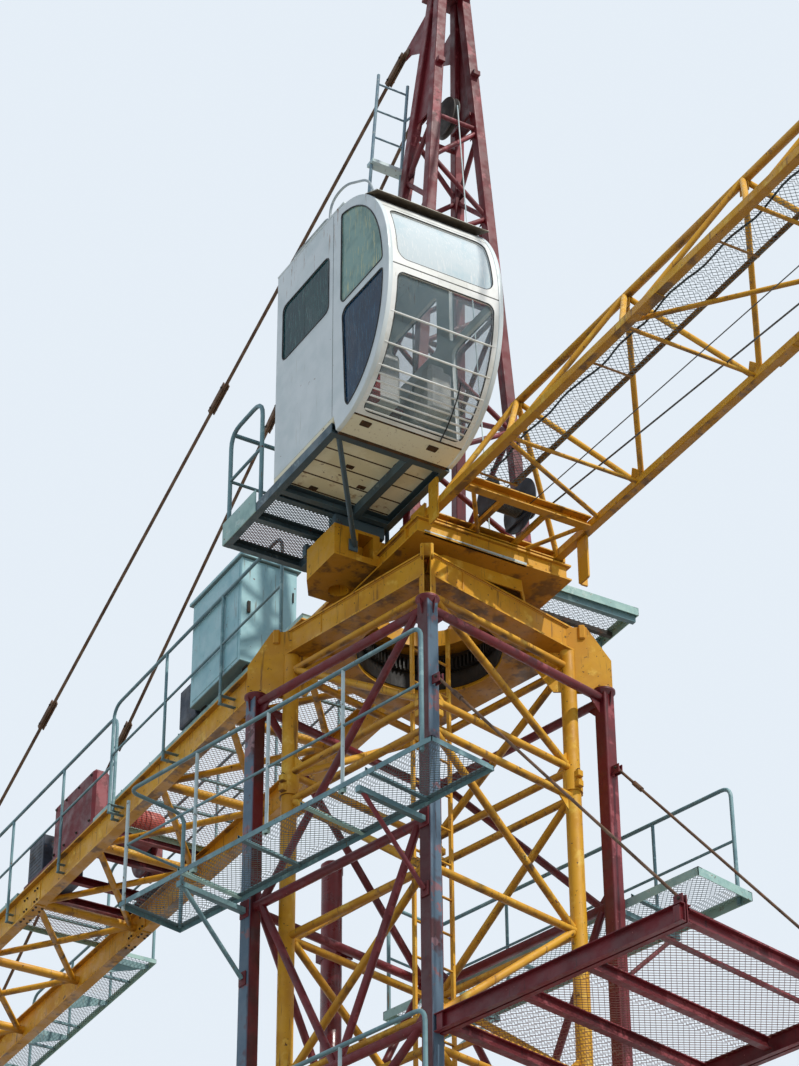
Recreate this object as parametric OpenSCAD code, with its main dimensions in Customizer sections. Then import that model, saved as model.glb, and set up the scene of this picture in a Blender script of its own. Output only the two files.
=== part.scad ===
// Tower crane with a climbing cage around the top of its mast.
// The drawing is in millimetres with +Z up and the origin on the ground at the mast centre.
// The mast stays put; everything above the slewing ring turns about the vertical axis.

/* [Mast] */
// Distance between chord centres of the mast
mast_c = 1600; // [1400:10:1800]
// Outside diameter of a mast chord tube
chord_d = 130; // [110:5:150]
// Height of the base below the first section
base_h = 660; // [560:10:800]
// Height of one mast section, two bays each
sec_h = 2660; // [2400:20:3000]
// Number of mast sections
sec_n = 5; // [4:1:6]
// Diameter of the mast lacing tubes
lace_d = 64; // [48:2:80]

/* [Slewing support] */
// Height from the last section joint to the top of the support
sup_leg = 1480; // [1300:20:1700]
// Depth of the support box
sup_h = 250; // [200:10:320]
// Side length of the support box
sup_w = 1730; // [1690:10:1800]

/* [Climbing cage] */
// Distance between cage post centres
cage_c = 2000; // [1960:10:2080]
// Side length of a cage post
post_w = 120; // [100:5:140]
// Length of the cage posts
cage_h = 5560; // [5200:20:6000]
// Length of the introduction platform beyond the cage
intro_l = 2340; // [2000:20:2600]

/* [Turntable] */
// Length of the turntable along the jib
tt_l = 2100; // [2000:20:2200]
// Width of the turntable
tt_w = 1460; // [1440:10:1500]
// Height of the turntable box
tt_h = 150; // [130:10:180]
// Height of the two beams on the turntable
beam_h = 180; // [160:10:220]
// Distance between the centres of the two beams
beam_c = 1100; // [1080:10:1120]
// Heading of the jib from the row X axis, in degrees
jib_heading = -13.5; // [-40:0.5:10]

/* [Tower head] */
// Height of the tower head above the turntable beams
head_h = 6300; // [6000:50:6700]
// Side length of a tower head leg
leg_w = 96; // [80:4:110]

/* [Jib] */
// Distance between bottom chord centres
jib_w = 1220; // [1210:5:1240]
// Height from bottom chord to top chord
jib_h = 1072; // [1000:4:1140]
// Pitch of the jib bays
bay_l = 1580; // [1500:10:1640]
// Number of jib bays
bay_n = 9; // [7:1:10]
// Side length of a bottom chord box
jib_b = 74; // [66:2:80]
// Diameter of the top chord tube
top_d = 70; // [60:2:80]

/* [Counter-jib] */
// Distance between the girder centres
cj_w = 1140; // [1120:2:1160]
// Length of the counter-jib from the turntable
cj_l = 11300; // [10800:50:12000]
// Depth of the girders
cj_h = 300; // [260:10:320]
// Width of the side walkway at the tail
cj_side = 600; // [500:10:640]

/* [Cab] */
// Outside width of the cab
cab_w = 1056; // [1040:4:1080]
// Length of the flat part of the cab sides
cab_l = 982; // [940:10:1040]
// Height of the cab from its floor to its roof
cab_h = 2190; // [2100:10:2260]
// How far the round front stands out
cab_nose = 872; // [800:10:920]
// Thickness of the cab walls
wall = 40; // [30:2:60]

/* [Hidden] */
seat = 0.3;
mh = mast_c/2;
cr = chord_d/2;
lr = lace_d/2;
zj = base_h + sec_h*sec_n;
sup_z = zj + sup_leg;
sup_b = sup_z - sup_h;
ch = cage_c/2;
pw = post_w/2;
cage_t = sup_z - 645;
cage_b = cage_t - cage_h;
deck_z = cage_t - 1846;
low_z = cage_t - 4915;
deck_a = ch + 108;
deck_b = ch + 740;
deck_x0 = -ch - 720;
deck_x1 = ch + 774;
intro_z = cage_t - 3545;
ring_h = 60;
ring_r = 600;
tt_z = sup_z + 2*ring_h + 0.6 + seat;
tt_t = tt_z + tt_h;
bm_t = tt_t + beam_h;
bm_w = 60;
bm_j = 850;
arm_j = 400;
arm_k = 1120;
jz = tt_t + 16 + jib_b/2;
jn0 = 2236;
head_f = 658;
head_r = -407;
head_k = 123;
hl = [0.02, 0.11, 0.21, 0.31, 0.41, 0.50, 0.58, 0.66, 0.74];
head_tilt = atan((beam_c/2 - head_k)/(head_h - 20));
tie_j = 20;
tie_z = bm_t + head_h - 370;
jroot = 970;
fall_j = 358.3;
jend = jn0 + bay_l*bay_n;
jt0 = jn0 - bay_l/2;
cz = tt_t + 90;
cj0 = -tt_l/2 - seat;
cj_end = cj0 - cj_l;
cj_top = cz + cj_h/2;
cj_cab = 950;
cj_cab0 = -3000;
cj_far = -7500;
cj_win = -6020;
pf_z = bm_t + 198;
cab_z = pf_z + seat;
cab_k = -(beam_c/2 + 61);
cab_j = 368;
cab_c = cab_j + cab_l;
nose_z = cab_z + 1011;
nose_h = 1122;
rim = 95;
steel = [0.86, 0.62, 0.12];
maroon = [0.36, 0.10, 0.12];
green = [0.45, 0.58, 0.56];
white = [0.85, 0.84, 0.79];
dark = [0.18, 0.19, 0.21];

function flat(r) = r*cos(22.5);

module bar(p, q, r, n = 8) {
    v = q - p;
    l = norm(v);
    translate(p) rotate([0, acos(v[2]/l), atan2(v[1], v[0])])
        rotate([0, 0, 180/n]) cylinder(r = r, h = l, $fn = n);
}

// Square tube of side w from p to q, its faces along the axes.
module post(p, q, w) {
    v = q - p;
    l = norm(v);
    translate(p) rotate([-asin(v[1]/l), atan2(v[0], v[2]), 0]) translate([-w/2, -w/2, 0]) cube([w, w, l]);
}

module box(x0, x1, y0, y1, z0, z1) {
    translate([x0, y0, z0]) cube([x1 - x0, y1 - y0, z1 - z0]);
}

module four() {
    for (a = [0:90:270]) rotate([0, 0, a]) children();
}

module upper() {
    rotate([0, 0, jib_heading]) children();
}

// Base frame: two crossed beams with a bolted foot plate under each mast chord.
module base_frame() {
    color(steel) difference() {
        union() {
            for (a = [45, 135]) rotate([0, 0, a]) {
                box(-1500, 1500, -100, 100, 0, 20);
                box(-1500, 1500, -8, 8, 20, 240);
                box(-1500, 1500, -100, 100, 240, 260);
            }
            four() translate([mh, mh, 0]) {
                box(-260, 260, -260, 260, 0, 40);
                cylinder(r = cr + 20, h = 290, $fn = 48);
            }
        }
        four() for (i = [-1, 1], j = [-1, 1]) translate([mh + i*200, mh + j*200, -1])
            cylinder(r = 18, h = 42, $fn = 32);
    }
}

// Mast chords: round tubes with a sleeve at each section joint.
module mast_chords() {
    color(steel) four() translate([mh, mh, 0]) {
        translate([0, 0, 290 + seat]) cylinder(r = cr, h = sup_b - 290 - 2*seat, $fn = 48);
        for (i = [0:sec_n]) translate([0, 0, base_h + i*sec_h - 90])
            cylinder(r = cr + 14, h = 180, $fn = 48);
    }
}

// One side of the mast: horizontals at each joint and mid height, one diagonal a bay.
module mast_side() {
    e = mh - cr - seat;
    for (i = [0:sec_n - 1]) {
        z = base_h + i*sec_h;
        m = z + sec_h/2;
        for (h = [z + 130, m, z + sec_h - 130]) bar([-e, -mh, h], [e, -mh, h], lr);
        bar([-e + 60, -mh, z + sec_h - 160], [e - 60, -mh, m + 20], lr);
        bar([e - 60, -mh, m - 20], [-e + 60, -mh, z + 160], lr);
    }
    for (i = [0:sec_n]) {
        z = base_h + i*sec_h;
        if (i < sec_n) box(-e + 40, -e + 60, -mh - 12, -mh + 12, z + 130, z + sec_h - 130);
    }
    for (i = [1:sec_n - 1])
        box(-20, 20, -mh - 15, -mh + 15, base_h + i*sec_h - 130, base_h + i*sec_h + 130);
    h = zj + 130;
    box(-20, 20, -mh - 15, -mh + 15, zj - 130, h);
    bar([-e, -mh, h], [e, -mh, h], lr);
    bar([-e + 60, -mh, sup_b - 160], [e - 60, -mh, h + 20], lr);
    bar([-e, -mh, sup_b - 140], [e, -mh, sup_b - 140], lr);
}

// Ladder inside the mast, bolted to the horizontals of the right side.
module mast_ladder() {
    color(steel) {
        for (y = [-650, -250]) {
            box(450, 480, y - 12, y + 12, base_h + 130, sup_b - 80);
            for (i = [0:sec_n - 1]) box(480, mh - flat(lr) - seat, y - 12, y + 12,
                base_h + i*sec_h + 110, base_h + i*sec_h + 150);
        }
        for (z = [base_h + 300:300:sup_b - 200]) bar([465, -650, z], [465, -250, z], 11);
    }
}

// Slewing support: square box on the mast chords with a round opening for the ring.
module slewing_support() {
    s = sup_w/2;
    w = s - 45;
    t = s - 25;
    color(steel) difference() {
        union() {
            box(-s, s, -s, s, sup_b, sup_b + 16);
            box(-w, w, -w, w, sup_b + 16, sup_z - 16);
            box(-t, t, -t, t, sup_z - 16, sup_z);
        }
        translate([0, 0, sup_b - 1]) cylinder(r = ring_r, h = sup_h + 2, $fn = 96);
        difference() {
            box(-w + 16, w - 16, -w + 16, w - 16, sup_b + 16, sup_z - 16);
            translate([0, 0, sup_b]) cylinder(r = ring_r + 16, h = sup_h, $fn = 96);
        }
    }
}

// Wings on the corners of the slewing support: two plates with a block at the corner, over the disc that
// each cage post is bolted to, and a triangular plate on the inner side of the mast chord.
module corner_wings() {
    p = mh*1.4143 + cr - 7;
    q = mh*1.4143 - cr - seat;
    s = sup_w*0.7071;
    e = s - 30 + seat;
    w = s - 45*1.4142 - 30 + seat;
    t = cage_t + 20 + seat;
    o = ch*1.4143 + 60;
    color(steel) four() rotate([0, 0, 45]) {
        for (y = [-30, 40]) rotate([90, 0, 0]) translate([0, 0, -y]) linear_extrude(10)
            polygon([[p, t], [o, t], [o, sup_b - 80], [s + 70, sup_z - 20], [w, sup_z - 20],
                [w, sup_b + 16 + seat], [e, sup_b + 16 + seat], [e, sup_b - seat], [p, sup_b - seat]]);
        rotate([90, 0, 0]) translate([0, 0, -8]) linear_extrude(16)
            polygon([[q, t], [q - 60, t], [q - 190, sup_b - 170], [q - 330, sup_b - seat],
                [q, sup_b - seat]]);
        box(s + 4, s + 60, -53, 53, sup_z - 140, sup_z - 4);
        translate([ch*1.4142, 0, t]) cylinder(r = 78, h = 16, $fn = 48);
    }
}

// Lower half of the slewing ring.
module ring_lower() {
    color(dark) translate([0, 0, sup_z + seat]) difference() {
        cylinder(r = ring_r + 90, h = ring_h, $fn = 96);
        translate([0, 0, -1]) cylinder(r = ring_r, h = ring_h + 2, $fn = 96);
    }
}

// Posts of the climbing cage with a bolted flange on top.
module cage_posts() {
    color(maroon) four() translate([ch, ch, 0]) {
        box(-pw, pw, -pw, pw, cage_b, cage_t);
        translate([0, 0, cage_t - 20]) cylinder(r1 = pw, r2 = 95, h = 20, $fn = 48);
        translate([0, 0, cage_t]) cylinder(r = 95, h = 20, $fn = 48);
        box(-90, 90, -90, 90, cage_b - 20, cage_b);
    }
}

module cage_ring(z) {
    e = ch - pw - seat;
    bar([-e, -ch, z], [e, -ch, z], 38);
}

module cage_bay(z0, z1, s) {
    e = ch - pw - seat - 60;
    bar([-s*e, -ch, z0], [s*e, -ch, z1], 32);
}

// Sides of the cage that are braced over the full height.
module cage_side() {
    levels = [cage_t - 60, cage_t - 1915, cage_t - 3565, cage_t - 4855, cage_b + 80];
    for (z = levels) cage_ring(z);
    for (i = [0, 2, 3]) cage_bay(levels[i + 1], levels[i], i % 2 == 0 ? 1 : -1);
    for (s = [-1, 1]) bar([s*(ch - pw - seat - 60), -ch, levels[1]], [s*20, -ch, levels[2]], 32);
}

// Side of the cage that new sections come in through, open between its upper rings.
module cage_side_right() {
    color(maroon) rotate([0, 0, 90]) {
        for (z = [cage_t - 60, cage_t - 3565, cage_t - 4855, cage_b + 80]) cage_ring(z);
        cage_bay(cage_t - 4855, cage_t - 3565, 1);
        cage_bay(cage_b + 80, cage_t - 4855, -1);
    }
}

// Hydraulic cylinder that lifts the cage, on the left side, with its crosshead.
module climbing_cylinder() {
    x = -ch - pw - 130;
    color(maroon) {
        translate([x, 30, cage_t - 2900]) cylinder(r = 92, h = 1850, $fn = 64);
        translate([x, 30, cage_t - 3510]) cylinder(r = 55, h = 620, $fn = 48);
        box(x - 90, -ch - flat(38) - seat, -60, 120, cage_t - 1955, cage_t - 1875);
        box(x - 60, x + 60, -300, 360, cage_t - 3640, cage_t - 3500);
    }
}

// Walkway plate in an edge frame of depth h, with cross ribs under it.
module deck(x0, x1, y0, y1, z, h = 80) {
    n = max(2, round((x1 - x0)/850));
    difference() {
        box(x0, x1, y0, y1, z - h, z);
        box(x0 + 10, x1 - 10, y0 + 10, y1 - 10, z - h - 1, z - 6);
    }
    for (i = [1:n - 1]) box(x0 + (x1 - x0)*i/n - 5, x0 + (x1 - x0)*i/n + 5, y0 + 5, y1 - 5, z - h, z - 3);
}

module rail(x0, x1, y, z, h = 1000) {
    for (i = [0:4]) bar([x0 + 30 + i*(x1 - x0 - 60)/4, y, z], [x0 + 30 + i*(x1 - x0 - 60)/4, y, z + h], 17);
    bar([x0, y, z + h], [x1, y, z + h], 20);
    bar([x0, y, z + h/2], [x1, y, z + h/2], 14);
}

// One working platform with its brackets and slanted struts that reach down by d.
module deck_side(x0, x1, z, d) {
    p = -ch - pw - seat;
    deck(x0, x1, -deck_b, -deck_a, z);
    for (x = [-ch, ch]) {
        box(x - 30, x + 30, -deck_a - 22, p, z - 80, z - 20);
        box(x - 30, x + 30, -deck_b, -deck_b + 80, z - 88 - seat, z - 80 - seat);
        bar([x, -deck_b + 40, z - 84 - seat], [x, p - 22, z - d], 24);
        box(x - 30, x + 30, p - 14, p, z - d - 60, z - d + 50);
    }
}

// Rails of one platform: a long panel, and a short one at the end away from the open side.
module rail_side(x0, x1, z) {
    y = -deck_b + 22;
    rail(x0, x1, y, z + seat);
    for (h = [[500, 14], [1000, 20]])
        bar([x0 + 20, y + 20 + seat, z + h[0]], [x0 + 20, -deck_a - 32, z + h[0]], h[1]);
    bar([x0 + 20, -deck_a - 32, z + seat], [x0 + 20, -deck_a - 32, z + 1000], 17);
}

// Working platforms on the front and the back of the cage, at two levels.
module cage_decks() {
    color(green) for (m = [0, 1]) mirror([0, m, 0]) {
        deck_side(deck_x0, deck_x1, deck_z, 690);
        deck_side(-deck_x1, deck_x1, low_z, 520);
    }
}

module cage_rails() {
    color(green) for (m = [0, 1]) mirror([0, m, 0]) {
        rail_side(deck_x0 + 5, deck_x1 - 90, deck_z);
        rail_side(-deck_x1 + 24, deck_x1 - 90, low_z);
    }
}

// Platform that holds a new section in front of the open side of the cage.
module intro_platform() {
    z = intro_z;
    x0 = ch + pw + seat;
    x1 = x0 + intro_l;
    color(maroon) {
        for (y = [-ch, ch]) {
            box(x0, x1, y - 50, y + 50, z - 10, z);
            box(x0, x1, y - 6, y + 6, z - 130, z - 10);
            box(x0, x1, y - 50, y + 50, z - 140, z - 130);
        }
        for (i = [0:4]) box(x0 + 50 + i*(intro_l - 100)/4 - 40, x0 + 50 + i*(intro_l - 100)/4 + 40,
            -ch, ch, z - 110, z - 20);
        box(x0 + 10, x1 - 10, -ch + 40, ch - 40, z - 20, z - 15);
    }
}

module intro_guys() {
    z = intro_z + seat;
    color(dark) for (s = [-1, 1]) {
        bar([ch + pw + 45, s*ch, cage_t - 745], [ch + intro_l, s*ch, z + 50], 12);
        box(ch + intro_l - 60, ch + intro_l + 40, s*ch - 12, s*ch + 12, z, z + 70);
        box(ch + pw + seat, ch + pw + 60, s*ch - 12, s*ch + 12, cage_t - 800, cage_t - 700);
    }
}

// Upper half of the slewing ring.
module ring_upper() {
    color(dark) translate([0, 0, sup_z + seat + ring_h + 0.6]) difference() {
        cylinder(r = ring_r + 110, h = ring_h - seat, $fn = 96);
        translate([0, 0, -1]) cylinder(r = ring_r, h = ring_h + 2, $fn = 96);
    }
}

// Turntable: flat welded box with a man hole, guard plates round the ring under its front, two beams for
// the tower head and both jibs, and an arm with a chamfered end that carries the cab.
module turntable() {
    l = tt_l/2;
    w = tt_w/2;
    m = 450;
    color(steel) upper() {
        translate([0, 0, sup_z + 12]) linear_extrude(tt_z - sup_z - 10)
            polygon([[l - 502, -w + 138], [l - 212, -362], [l - 212, 362], [l - 502, w - 138],
                [l - 490, w - 130], [l - 200, 370], [l - 200, -370], [l - 490, -w + 130]]);
        difference() {
            union() {
                box(-l, l, -w, w, tt_z, tt_z + 16);
                box(-l + 30, l - 30, -w + 30, w - 30, tt_z + 16, tt_t - 16);
                box(-l, l, -w, w, tt_t - 16, tt_t);
            }
            difference() {
                box(-l + 46, l - 46, -w + 46, w - 46, tt_z + 16, tt_t - 16);
                translate([0, 0, tt_z]) cylinder(r = m + 16, h = tt_h, $fn = 72);
                box(-l, l, -8, 8, tt_z, tt_t);
            }
            translate([0, 0, tt_z - 1]) cylinder(r = m, h = tt_h + 2, $fn = 72);
        }
        for (s = [-1, 1]) {
            box(-l, bm_j, s*beam_c/2 - bm_w, s*beam_c/2 + bm_w, tt_t, bm_t);
            box(bm_j - 10, 1060, s*(jib_w/2 + jib_b/2 + seat + 10) - 10,
                s*(jib_w/2 + jib_b/2 + seat + 10) + 10, tt_t, tt_t + 130);
        }
        for (j = [-l, bm_j - 100]) box(j, j + 100, -beam_c/2, beam_c/2, tt_t, bm_t);
        difference() {
            translate([0, 0, tt_z + 30]) linear_extrude(bm_t - tt_z - 30)
                polygon([[-250, 30 - w], [-250, 120 - arm_k], [-60, -arm_k], [arm_j, -arm_k],
                    [arm_j, 30 - w]]);
            translate([-60, -w - 95, tt_z]) cylinder(r = 85, h = 150, $fn = 48);
            box(arm_j - 170, arm_j + 1, -w - 170, -w - 30, tt_z + 90, bm_t - 30);
        }
    }
}

// Small platform on the right-hand side of the turntable.
module side_deck() {
    w = tt_w/2;
    color(green) upper() {
        deck(0, 630, w + 35, w + 950, tt_t + 130);
        for (x = [60, 570]) box(x - 25, x + 25, w - 60, w + 45, tt_t + seat, tt_t + 128);
    }
}

// Point at the height t, from 0 to 1, of the tower head leg on side sj along the jib and sk across it.
function hp(sj, sk, t) = [
    sj > 0 ? head_f - 91*t : head_r + 855*t,
    sk*(beam_c/2 - 1 - (beam_c/2 - head_k)*t),
    bm_t + seat + 20 + (head_h - 20)*t];

// Side frame of the tower head: upright front leg, sloping rear leg, zigzag bracing, an infill plate
// where the legs meet and the plate for the counter-jib tie.
module head_side(s) {
    color(maroon) upper() {
        for (f = [1, -1]) {
            post(hp(f, s, 0), hp(f, s, 1), leg_w);
            translate(hp(f, s, 0)) box(-100, 100, -55, 55, -20, 12);
        }
        for (i = [0:7]) bar(hp(i % 2 == 0 ? 1 : -1, s, hl[i]), hp(i % 2 == 0 ? -1 : 1, s, hl[i + 1]), 24);
        bar(hp(1, s, hl[4]), hp(-1, s, hl[4]), 24);
        translate([0, s*hp(1, 1, 0)[1], hp(1, 1, 0)[2]]) rotate([s*head_tilt, 0, 0])
            translate([0, 6, 0]) rotate([90, 0, 0]) linear_extrude(12)
                polygon([for (q = [[1, 0.76], [-1, 0.76], [-1, 1], [1, 1]])
                    [hp(q[0], 1, q[1])[0], q[1]*(head_h - 20)/cos(head_tilt)]]);
        translate([0, s*hp(1, 1, 0.94)[1] + 8, 0]) rotate([90, 0, 0]) linear_extrude(16)
            polygon([[hp(-1, s, 0.90)[0], hp(-1, s, 0.90)[2]], [hp(-1, s, 0.98)[0], hp(-1, s, 0.98)[2]],
                [tie_j - 40, tie_z + 60], [tie_j - 60, tie_z - 50], [tie_j + 50, tie_z - 60]]);
    }
}

// Zigzag bracing across the front and the back of the tower head.
module head_braces() {
    color(maroon) upper() for (f = [1, -1]) difference() {
        union() {
            for (i = [0:7])
                bar(hp(f, i % 2 == 0 ? -1 : 1, hl[i]), hp(f, i % 2 == 0 ? 1 : -1, hl[i + 1]), 24);
            for (i = [4, 8]) bar(hp(f, -1, hl[i] + 0.004), hp(f, 1, hl[i] + 0.004), 22);
        }
        for (s = [-1, 1]) post(hp(f, s, 0), hp(f, s, 1), leg_w + 2*seat);
    }
}

// Cap of the tower head with the sheave between two cheek plates.
module head_top() {
    p = hp(1, 1, 1);
    q = hp(-1, 1, 1);
    z = p[2] + leg_w*0.101 + seat;
    c = (p[0] + q[0])/2;
    color(maroon) upper() {
        box(q[0] - 120, p[0] + 120, -190, 190, z, z + 30);
        for (s = [-1, 1]) box(q[0] - 100, p[0] + 100, s*110 - 12, s*110 + 12, z + 30, z + 420);
        translate([c, 0, z + 260]) rotate([90, 0, 0]) cylinder(r = 150, h = 60, center = true, $fn = 64);
        bar([c, -140, z + 260], [c, 140, z + 260], 30, 48);
    }
}

// Ladder behind the left rear leg of the tower head, held by short brackets.
module head_ladder() {
    o = [-160, 0, 0];
    k = -beam_c/2 + 145;
    a = [hp(-1, 0, 0.05)[0], k, hp(-1, 0, 0.05)[2]] + o;
    b = [hp(-1, 0, 0.89)[0], k, hp(-1, 0, 0.89)[2]] + o;
    color(green) upper() {
        for (s = [-155, 155]) bar(a + [0, s, 0], b + [0, s, 0], 15);
        n = 18;
        for (i = [0:n]) bar(a + (b - a)*i/n + [0, -155, 0], a + (b - a)*i/n + [0, 155, 0], 10);
        difference() {
            for (i = [1, 6, 11, 16]) {
                c = a + (b - a)*i/n;
                bar(c + [0, 155, 0], hp(-1, -1, 0.05 + 0.84*i/n), 12);
            }
            post(hp(-1, -1, 0), hp(-1, -1, 1), leg_w + 2*seat);
        }
    }
}

// Steel platform beside the turntable: three long beams, cross beams, feet on the arm and the
// turntable, a grating behind the cab, its toe board and the slanted strut.
module cab_platform() {
    z = pf_z;
    k0 = cab_k - cab_w - 4;
    k1 = cab_k + 18;
    j0 = -500;
    j1 = cab_c - 20;
    color(green) upper() {
        for (k = [k0, -960, k1 - 60]) box(j0, j1, k, k + 60, z - 90, z);
        for (j = [j0, -60, 300, 390, j1 - 60]) box(j, j + 60, k0, k1, z - 90, z);
        box(j0 + 10, 400, k0 + 10, k1 - 10, z - 16, z - 8);
        box(j0, 80, k0 - 8, k0, z - 90, z + 130);
        for (j = [-180, 320]) {
            box(j, j + 60, -arm_k + 20, -beam_c/2 - bm_w - 30, bm_t + seat, z - 88);
            box(j, j + 60, -beam_c/2 - bm_w + 6, k1 - 2, bm_t + seat, z - 88);
        }
        bar([j1 - 60, k0 + 100, z - 70], [arm_j + 14, -arm_k + 180, tt_z + 152], 20);
        box(arm_j + seat, arm_j + 16, -arm_k + 130, -arm_k + 210, tt_z + 100, tt_z + 210);
    }
}

// Rail loops with round corners behind the cab.
module cab_rails() {
    z = pf_z + seat;
    k = cab_k - cab_w + 30;
    color(green) upper() {
        for (j = [-470, 90]) bar([j, k, z], [j, k, z + 1050], 19);
        for (h = [560, 1050]) bar([-470, k, z + h], [90, k, z + h], h == 560 ? 14 : 19);
        for (k2 = [k + 19 + seat, cab_k - 60]) for (h = [560, 1050]) if (k2 > -1000)
            bar([-470, k + 19 + seat, z + h], [-470, k2, z + h], h == 560 ? 14 : 19);
        bar([-470, cab_k - 60, z], [-470, cab_k - 60, z + 1050], 19);
    }
}

function sg(x, e) = (x < 0 ? -1 : 1)*pow(abs(x), e);
function nose(a, o) = [cab_c + (cab_nose - o)*sg(cos(a), 0.91), nose_z + (nose_h - o)*sg(sin(a), 0.91)];
function nose_arc(a0, a1, o, n) = [for (i = [0:n]) nose(a0 + (a1 - a0)*i/n, o)];

// Outline of the cab side, drawn flat, with its faces across the cab.
module across(k0, k1) {
    translate([0, k1, 0]) rotate([90, 0, 0]) linear_extrude(k1 - k0) children();
}

module cab_outline() {
    polygon(concat([[cab_j, cab_z + 50 + seat], [cab_c, cab_z + 50 + seat]],
        nose_arc(-90, 90, 0, 24), [[cab_j, nose_z + nose_h]]));
}

// Part of the round front between two angles, between the depths o0 and o1 below its surface.
module nose_shell(a0, a1, o0, o1, k0, k1) {
    n = max(3, round(abs(a1 - a0)/9));
    across(k0, k1) polygon(concat(nose_arc(a0, a1, o0, n), nose_arc(a1, a0, o1, n)));
}

module cab_floor() {
    color(white) upper() {
        box(cab_j, cab_c, cab_k - cab_w, cab_k, cab_z, cab_z + 50);
        for (i = [0:4]) box(cab_j + 60 + i*190, cab_j + 90 + i*190, cab_k - cab_w + wall + 5,
            cab_k - wall - 5, cab_z + 49, cab_z + 58);
    }
}

// Cab walls: two sides with a round front edge and three windows each, and the rear wall.
module cab_walls() {
    z0 = cab_z + 50 + seat;
    z1 = nose_z + nose_h;
    color(white) upper() {
        for (k = [cab_k - cab_w, cab_k - wall]) difference() {
            across(k, k + wall) cab_outline();
            across(k - 1, k + wall + 1) {
                polygon(concat([[cab_c + 150, nose_z + 85]], nose_arc(4, 83, rim, 12),
                    [[cab_c + 110, nose_z + 125]]));
                polygon(concat([[cab_c + 135, nose_z - 45], [cab_c + 175, nose_z + 5]],
                    nose_arc(0, -75, rim, 12), [[cab_c + 190, nose_z - 940]]));
                translate([cab_j + 107, nose_z + 160]) square([cab_l - 197, 575]);
            }
        }
        difference() {
            box(cab_j, cab_j + wall, cab_k - cab_w + wall + seat, cab_k - wall - seat, z0, z1);
            box(cab_j - 1, cab_j + wall + 1, cab_k - cab_w + 250, cab_k - 250, z0 + 900, z1 - 180);
        }
    }
}

// Flat roof with two low handrails.
module cab_roof() {
    z1 = nose_z + nose_h + seat;
    color(white) upper() {
        box(cab_j - 10, cab_c + 150, cab_k - cab_w - 10, cab_k + 10, z1, z1 + 55);
        for (k = [cab_k - cab_w + 120, cab_k - 120]) {
            for (j = [cab_j + 60, cab_j + 660]) box(j - 9, j + 9, k - 9, k + 9, z1 + 50, z1 + 240);
            box(cab_j + 40, cab_j + 680, k - 11, k + 11, z1 + 236, z1 + 258);
        }
    }
}

// Frame of the round front: header with its visor, bar between the panes, the closed panel below and the
// guard rods, two wide apart and seven close together.
module cab_front() {
    k0 = cab_k - cab_w + wall + seat;
    k1 = cab_k - wall - seat;
    lip = [cab_c + cab_nose - 182, nose_z + 872];
    color(white) upper() {
        nose_shell(38, 90, 4, 50, k0, k1);
        nose_shell(-3.5, 4.5, 6, 60, k0, k1);
        nose_shell(-90, -74, 10, 40, k0, k1);
        across(k0, k1) polygon([nose(58, 8), lip, lip - [0, 12], nose(56, 8)]);
        across(k0 - wall, k1 + wall) polygon([nose(58, -1), lip, lip - [0, 12], nose(56, -1)]);
        across(k0, k1) polygon([[cab_c + seat, cab_z], [cab_c + seat, cab_z + 50], [cab_c + 60, cab_z + 50],
            [cab_c + 60, nose_z - nose_h + 30], [cab_c + seat, nose_z - nose_h + 30]]);
        for (a = [-70.5, -66.5, -62.5, -58.5, -54.5, -50.5, -46.5, -35.5, -21]) {
            p = nose(a, 16);
            bar([p[0], k0, p[1]], [p[0], k1, p[1]], 7);
        }
    }
}

// Curved windscreen in two panes.
module cab_windscreen() {
    k0 = cab_k - cab_w + wall + seat;
    k1 = cab_k - wall - seat;
    color(dark) upper() {
        nose_shell(5, 37.5, 34, 40, k0, k1);
        nose_shell(-73.5, -4, 34, 40, k0, k1);
    }
}

// Flat panes in the side and rear windows.
module cab_glass() {
    k0 = cab_k - cab_w + wall + seat;
    k1 = cab_k - wall - seat;
    color(dark) upper() {
        for (k = [k0, k1 - 5]) {
            box(cab_j + 80, cab_c - 65, k, k + 5, nose_z + 135, nose_z + 760);
            across(k, k + 5) polygon(concat([[cab_c + 80, nose_z + 55]], nose_arc(2.3, 84, rim - 15, 12)));
            across(k, k + 5) polygon(concat([[cab_c + 105, nose_z + 25]], nose_arc(1, -76, rim - 15, 12),
                [[cab_c + 150, nose_z - 1000]]));
        }
        box(cab_j + wall + seat, cab_j + wall + 5, cab_k - cab_w + 230, cab_k - 230,
            cab_z + 930, nose_z + nose_h - 160);
    }
}

module cab_seat() {
    z0 = cab_z + 58 + seat;
    k = cab_k - cab_w/2;
    color([0.5, 0.08, 0.08]) upper() {
        box(cab_j + 350, cab_j + 800, k - 230, k + 230, z0 + 380, z0 + 480);
        box(cab_j + 300, cab_j + 400, k - 220, k + 220, z0 + 380, z0 + 1050);
        box(cab_j + 500, cab_j + 640, k - 70, k + 70, z0, z0 + 380);
    }
}

function jn(i) = jn0 + bay_l*i;
function jt(i) = jt0 + bay_l*i;

// Three jib chords: two box chords below and one tube on top.
module jib_chords() {
    color(steel) upper() {
        chord_boxes(0);
        bar([jt(0) - 60, 0, jz + jib_h], [jt(bay_n) + 60, 0, jz + jib_h], top_d/2, 48);
    }
}

module chord_boxes(c) {
    b = jib_b/2 + c;
    for (s = [-1, 1]) box(jroot, jend, s*jib_w/2 - b, s*jib_w/2 + b, jz - b, jz + b);
}

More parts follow.
